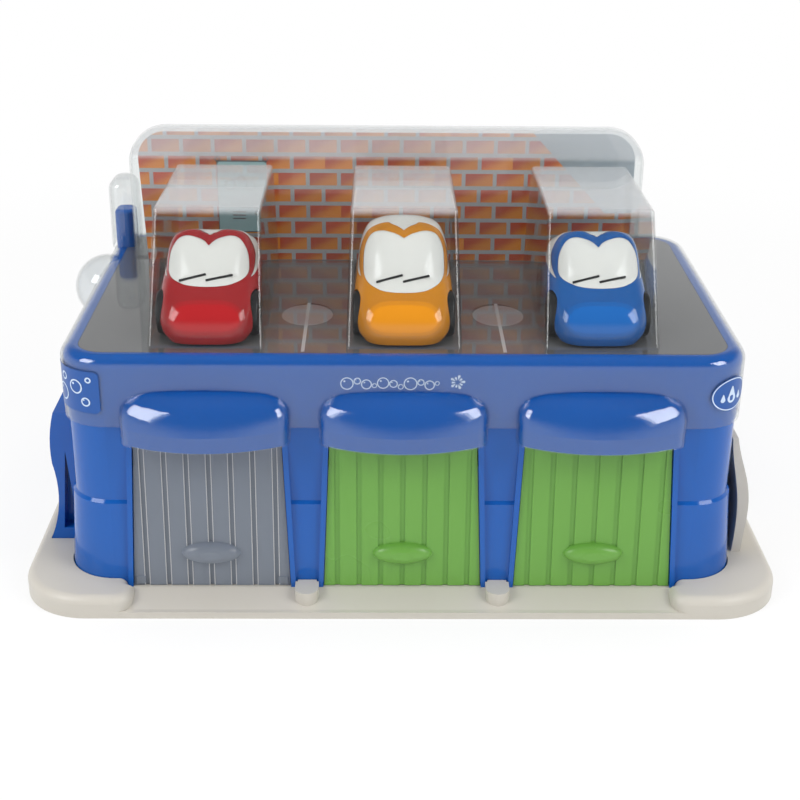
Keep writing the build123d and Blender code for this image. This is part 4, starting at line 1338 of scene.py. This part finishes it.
# The tall car's windscreen starts lower and dips less
TALL_SCREEN_SHARES = ((0.0, 0.505), (0.3, 0.51), (0.57, 0.53), (0.84, 0.585), (0.88, 0.7), (0.84, 0.82),
                      (0.7, 0.915), (0.47, 0.95), (0.22, 0.94), (0.0, 0.905))
TALL_CAR = CarMould(roof_z=201.4, roof_dip=1.6, screen_shares=TALL_SCREEN_SHARES)


@dataclass
class Cars:
    """The three cars: moulded bodies with white screens, short wipers, black wheels and steel axles.

    Attributes:
        paints: The look of each car, with a slot name that is not used.
        moulds: The form of each car.
        wiper_xs: Where a wiper starts, from the car's middle.
        wiper_foot: Height of its foot.
        wiper_length, wiper_width, wiper_rise, wiper_rounding: Its size, and its edges' radius.
        wiper_lean: How far it leans, in degrees.
        sight_y: A place before the cars, from where a wiper's seat on the windscreen is looked for.
    """

    paints: tuple[tuple[Look, str], ...] = ((Look.RED_CAR, "car_red"), (Look.ORANGE_CAR, "car_yellow"),
                                            (Look.BLUE_CAR, "car_blue"))
    moulds: tuple[CarMould, ...] = (LOW_CAR, TALL_CAR, LOW_CAR)
    wiper_xs: tuple[float, float] = (-15.0, -0.5)
    wiper_foot: float = 175.4
    wiper_length: float = 15.0
    wiper_width: float = 1.3
    wiper_rise: float = 0.9
    wiper_rounding: float = 0.35
    wiper_lean: float = 72.0
    sight_y: float = -300.0

    def build(self) -> None:
        """Dresses each car, puts its smooth forms in the solids' place and adds its wipers."""
        for number, (paint, slot) in enumerate(self.paints, start=1):
            car = f"car_{number}"
            low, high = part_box(car + "_body")
            middle = (low.x + high.x) / 2 / MM
            forms = self.moulds[number - 1].pieces()
            for form in forms.values():
                bmesh.ops.translate(form, verts=form.verts, vec=(middle, 0, 0))
            body = make_piece(car + "_shell", forms["shell"], paint, car)
            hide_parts(car + "_body")
            screen = make_piece(car + "_screen", forms["screen"], Look.WHITE_SCREEN, car)
            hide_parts(car + "_windscreen")
            make_piece(car + "_cabin", forms["cabin"], Look.WHITE_SCREEN, car)
            dress(car + "_chassis", Look.BLACK_CHASSIS)
            for end in ("front", "rear"):
                dress(f"{car}_{end}_axle", Look.AXLE)
                for side in ("left", "right"):
                    dress(f"{car}_{end}_wheel_{side}", Look.BLACK_WHEEL)
            self.wipers(car, screen, middle)

    def wipers(self, car: str, screen: bpy.types.Object, middle: float) -> None:
        """Two wiper arms that lie on the windscreen.

        Args:
            car: The car's body name.
            screen: The windscreen.
            middle: The car's middle, in millimetres.
        """
        skin = BVHTree.FromPolygons([vertex.co for vertex in screen.data.vertices],
                                    [face.vertices for face in screen.data.polygons])
        lean = math.radians(self.wiper_lean)
        half = Vector((math.sin(lean), 0, math.cos(lean))) * self.wiper_length / 2
        size = Matrix.Diagonal((self.wiper_width, self.wiper_rise, self.wiper_length, 1))
        mesh = bmesh.new()
        for offset in self.wiper_xs:
            aim = Vector((middle + offset, self.sight_y, self.wiper_foot)) + half
            place, normal, _, _ = skin.ray_cast(aim * MM, Vector((0, 1, 0)))
            if place is None:
                log.warning("%s: no windscreen behind the wiper", car)
                continue
            outward = normal if normal.y < 0 else -normal
            along = (half - outward * half.dot(outward)).normalized()
            across = outward.cross(along)
            turn = Matrix((across, outward, along)).transposed().to_4x4()
            seat = Matrix.Translation(place / MM)
            made = bmesh.ops.create_cube(mesh, size=1.0, matrix=seat @ turn @ size)
            edges = {edge for vertex in made["verts"] for edge in vertex.link_edges}
            bmesh.ops.bevel(mesh, geom=list(edges), offset=self.wiper_rounding, offset_type="OFFSET",
                            segments=3, profile=0.5, affect="EDGES", material=-1)
        make_piece(car + "_wipers", mesh, Look.BLACK_CHASSIS, car)


def set_render_paths() -> None:
    """Lets sight reach through all the clear walls and keeps the plain view transform."""
    scene = bpy.context.scene
    scene.view_settings.view_transform = "Standard"
    scene.cycles.transparent_max_bounces = 40
    scene.cycles.max_bounces = 16
    scene.cycles.glossy_bounces = 8


def corners(box: tuple[Vector, Vector]) -> list[list[float]]:
    """The box's two corners as plain lists."""
    return [list(corner) for corner in box]


def main() -> None:
    """Builds the studio and each sub-assembly in order."""
    logging.basicConfig(level=logging.INFO, format="%(name)s: %(message)s")
    set_render_paths()
    PhotoCamera().build()
    for assembly in (Studio(), Building(), Cover(), Doors(), Cars()):
        assembly.build()
        log.info("finished %s", type(assembly).__name__)


if __name__ == "__main__":
    main()
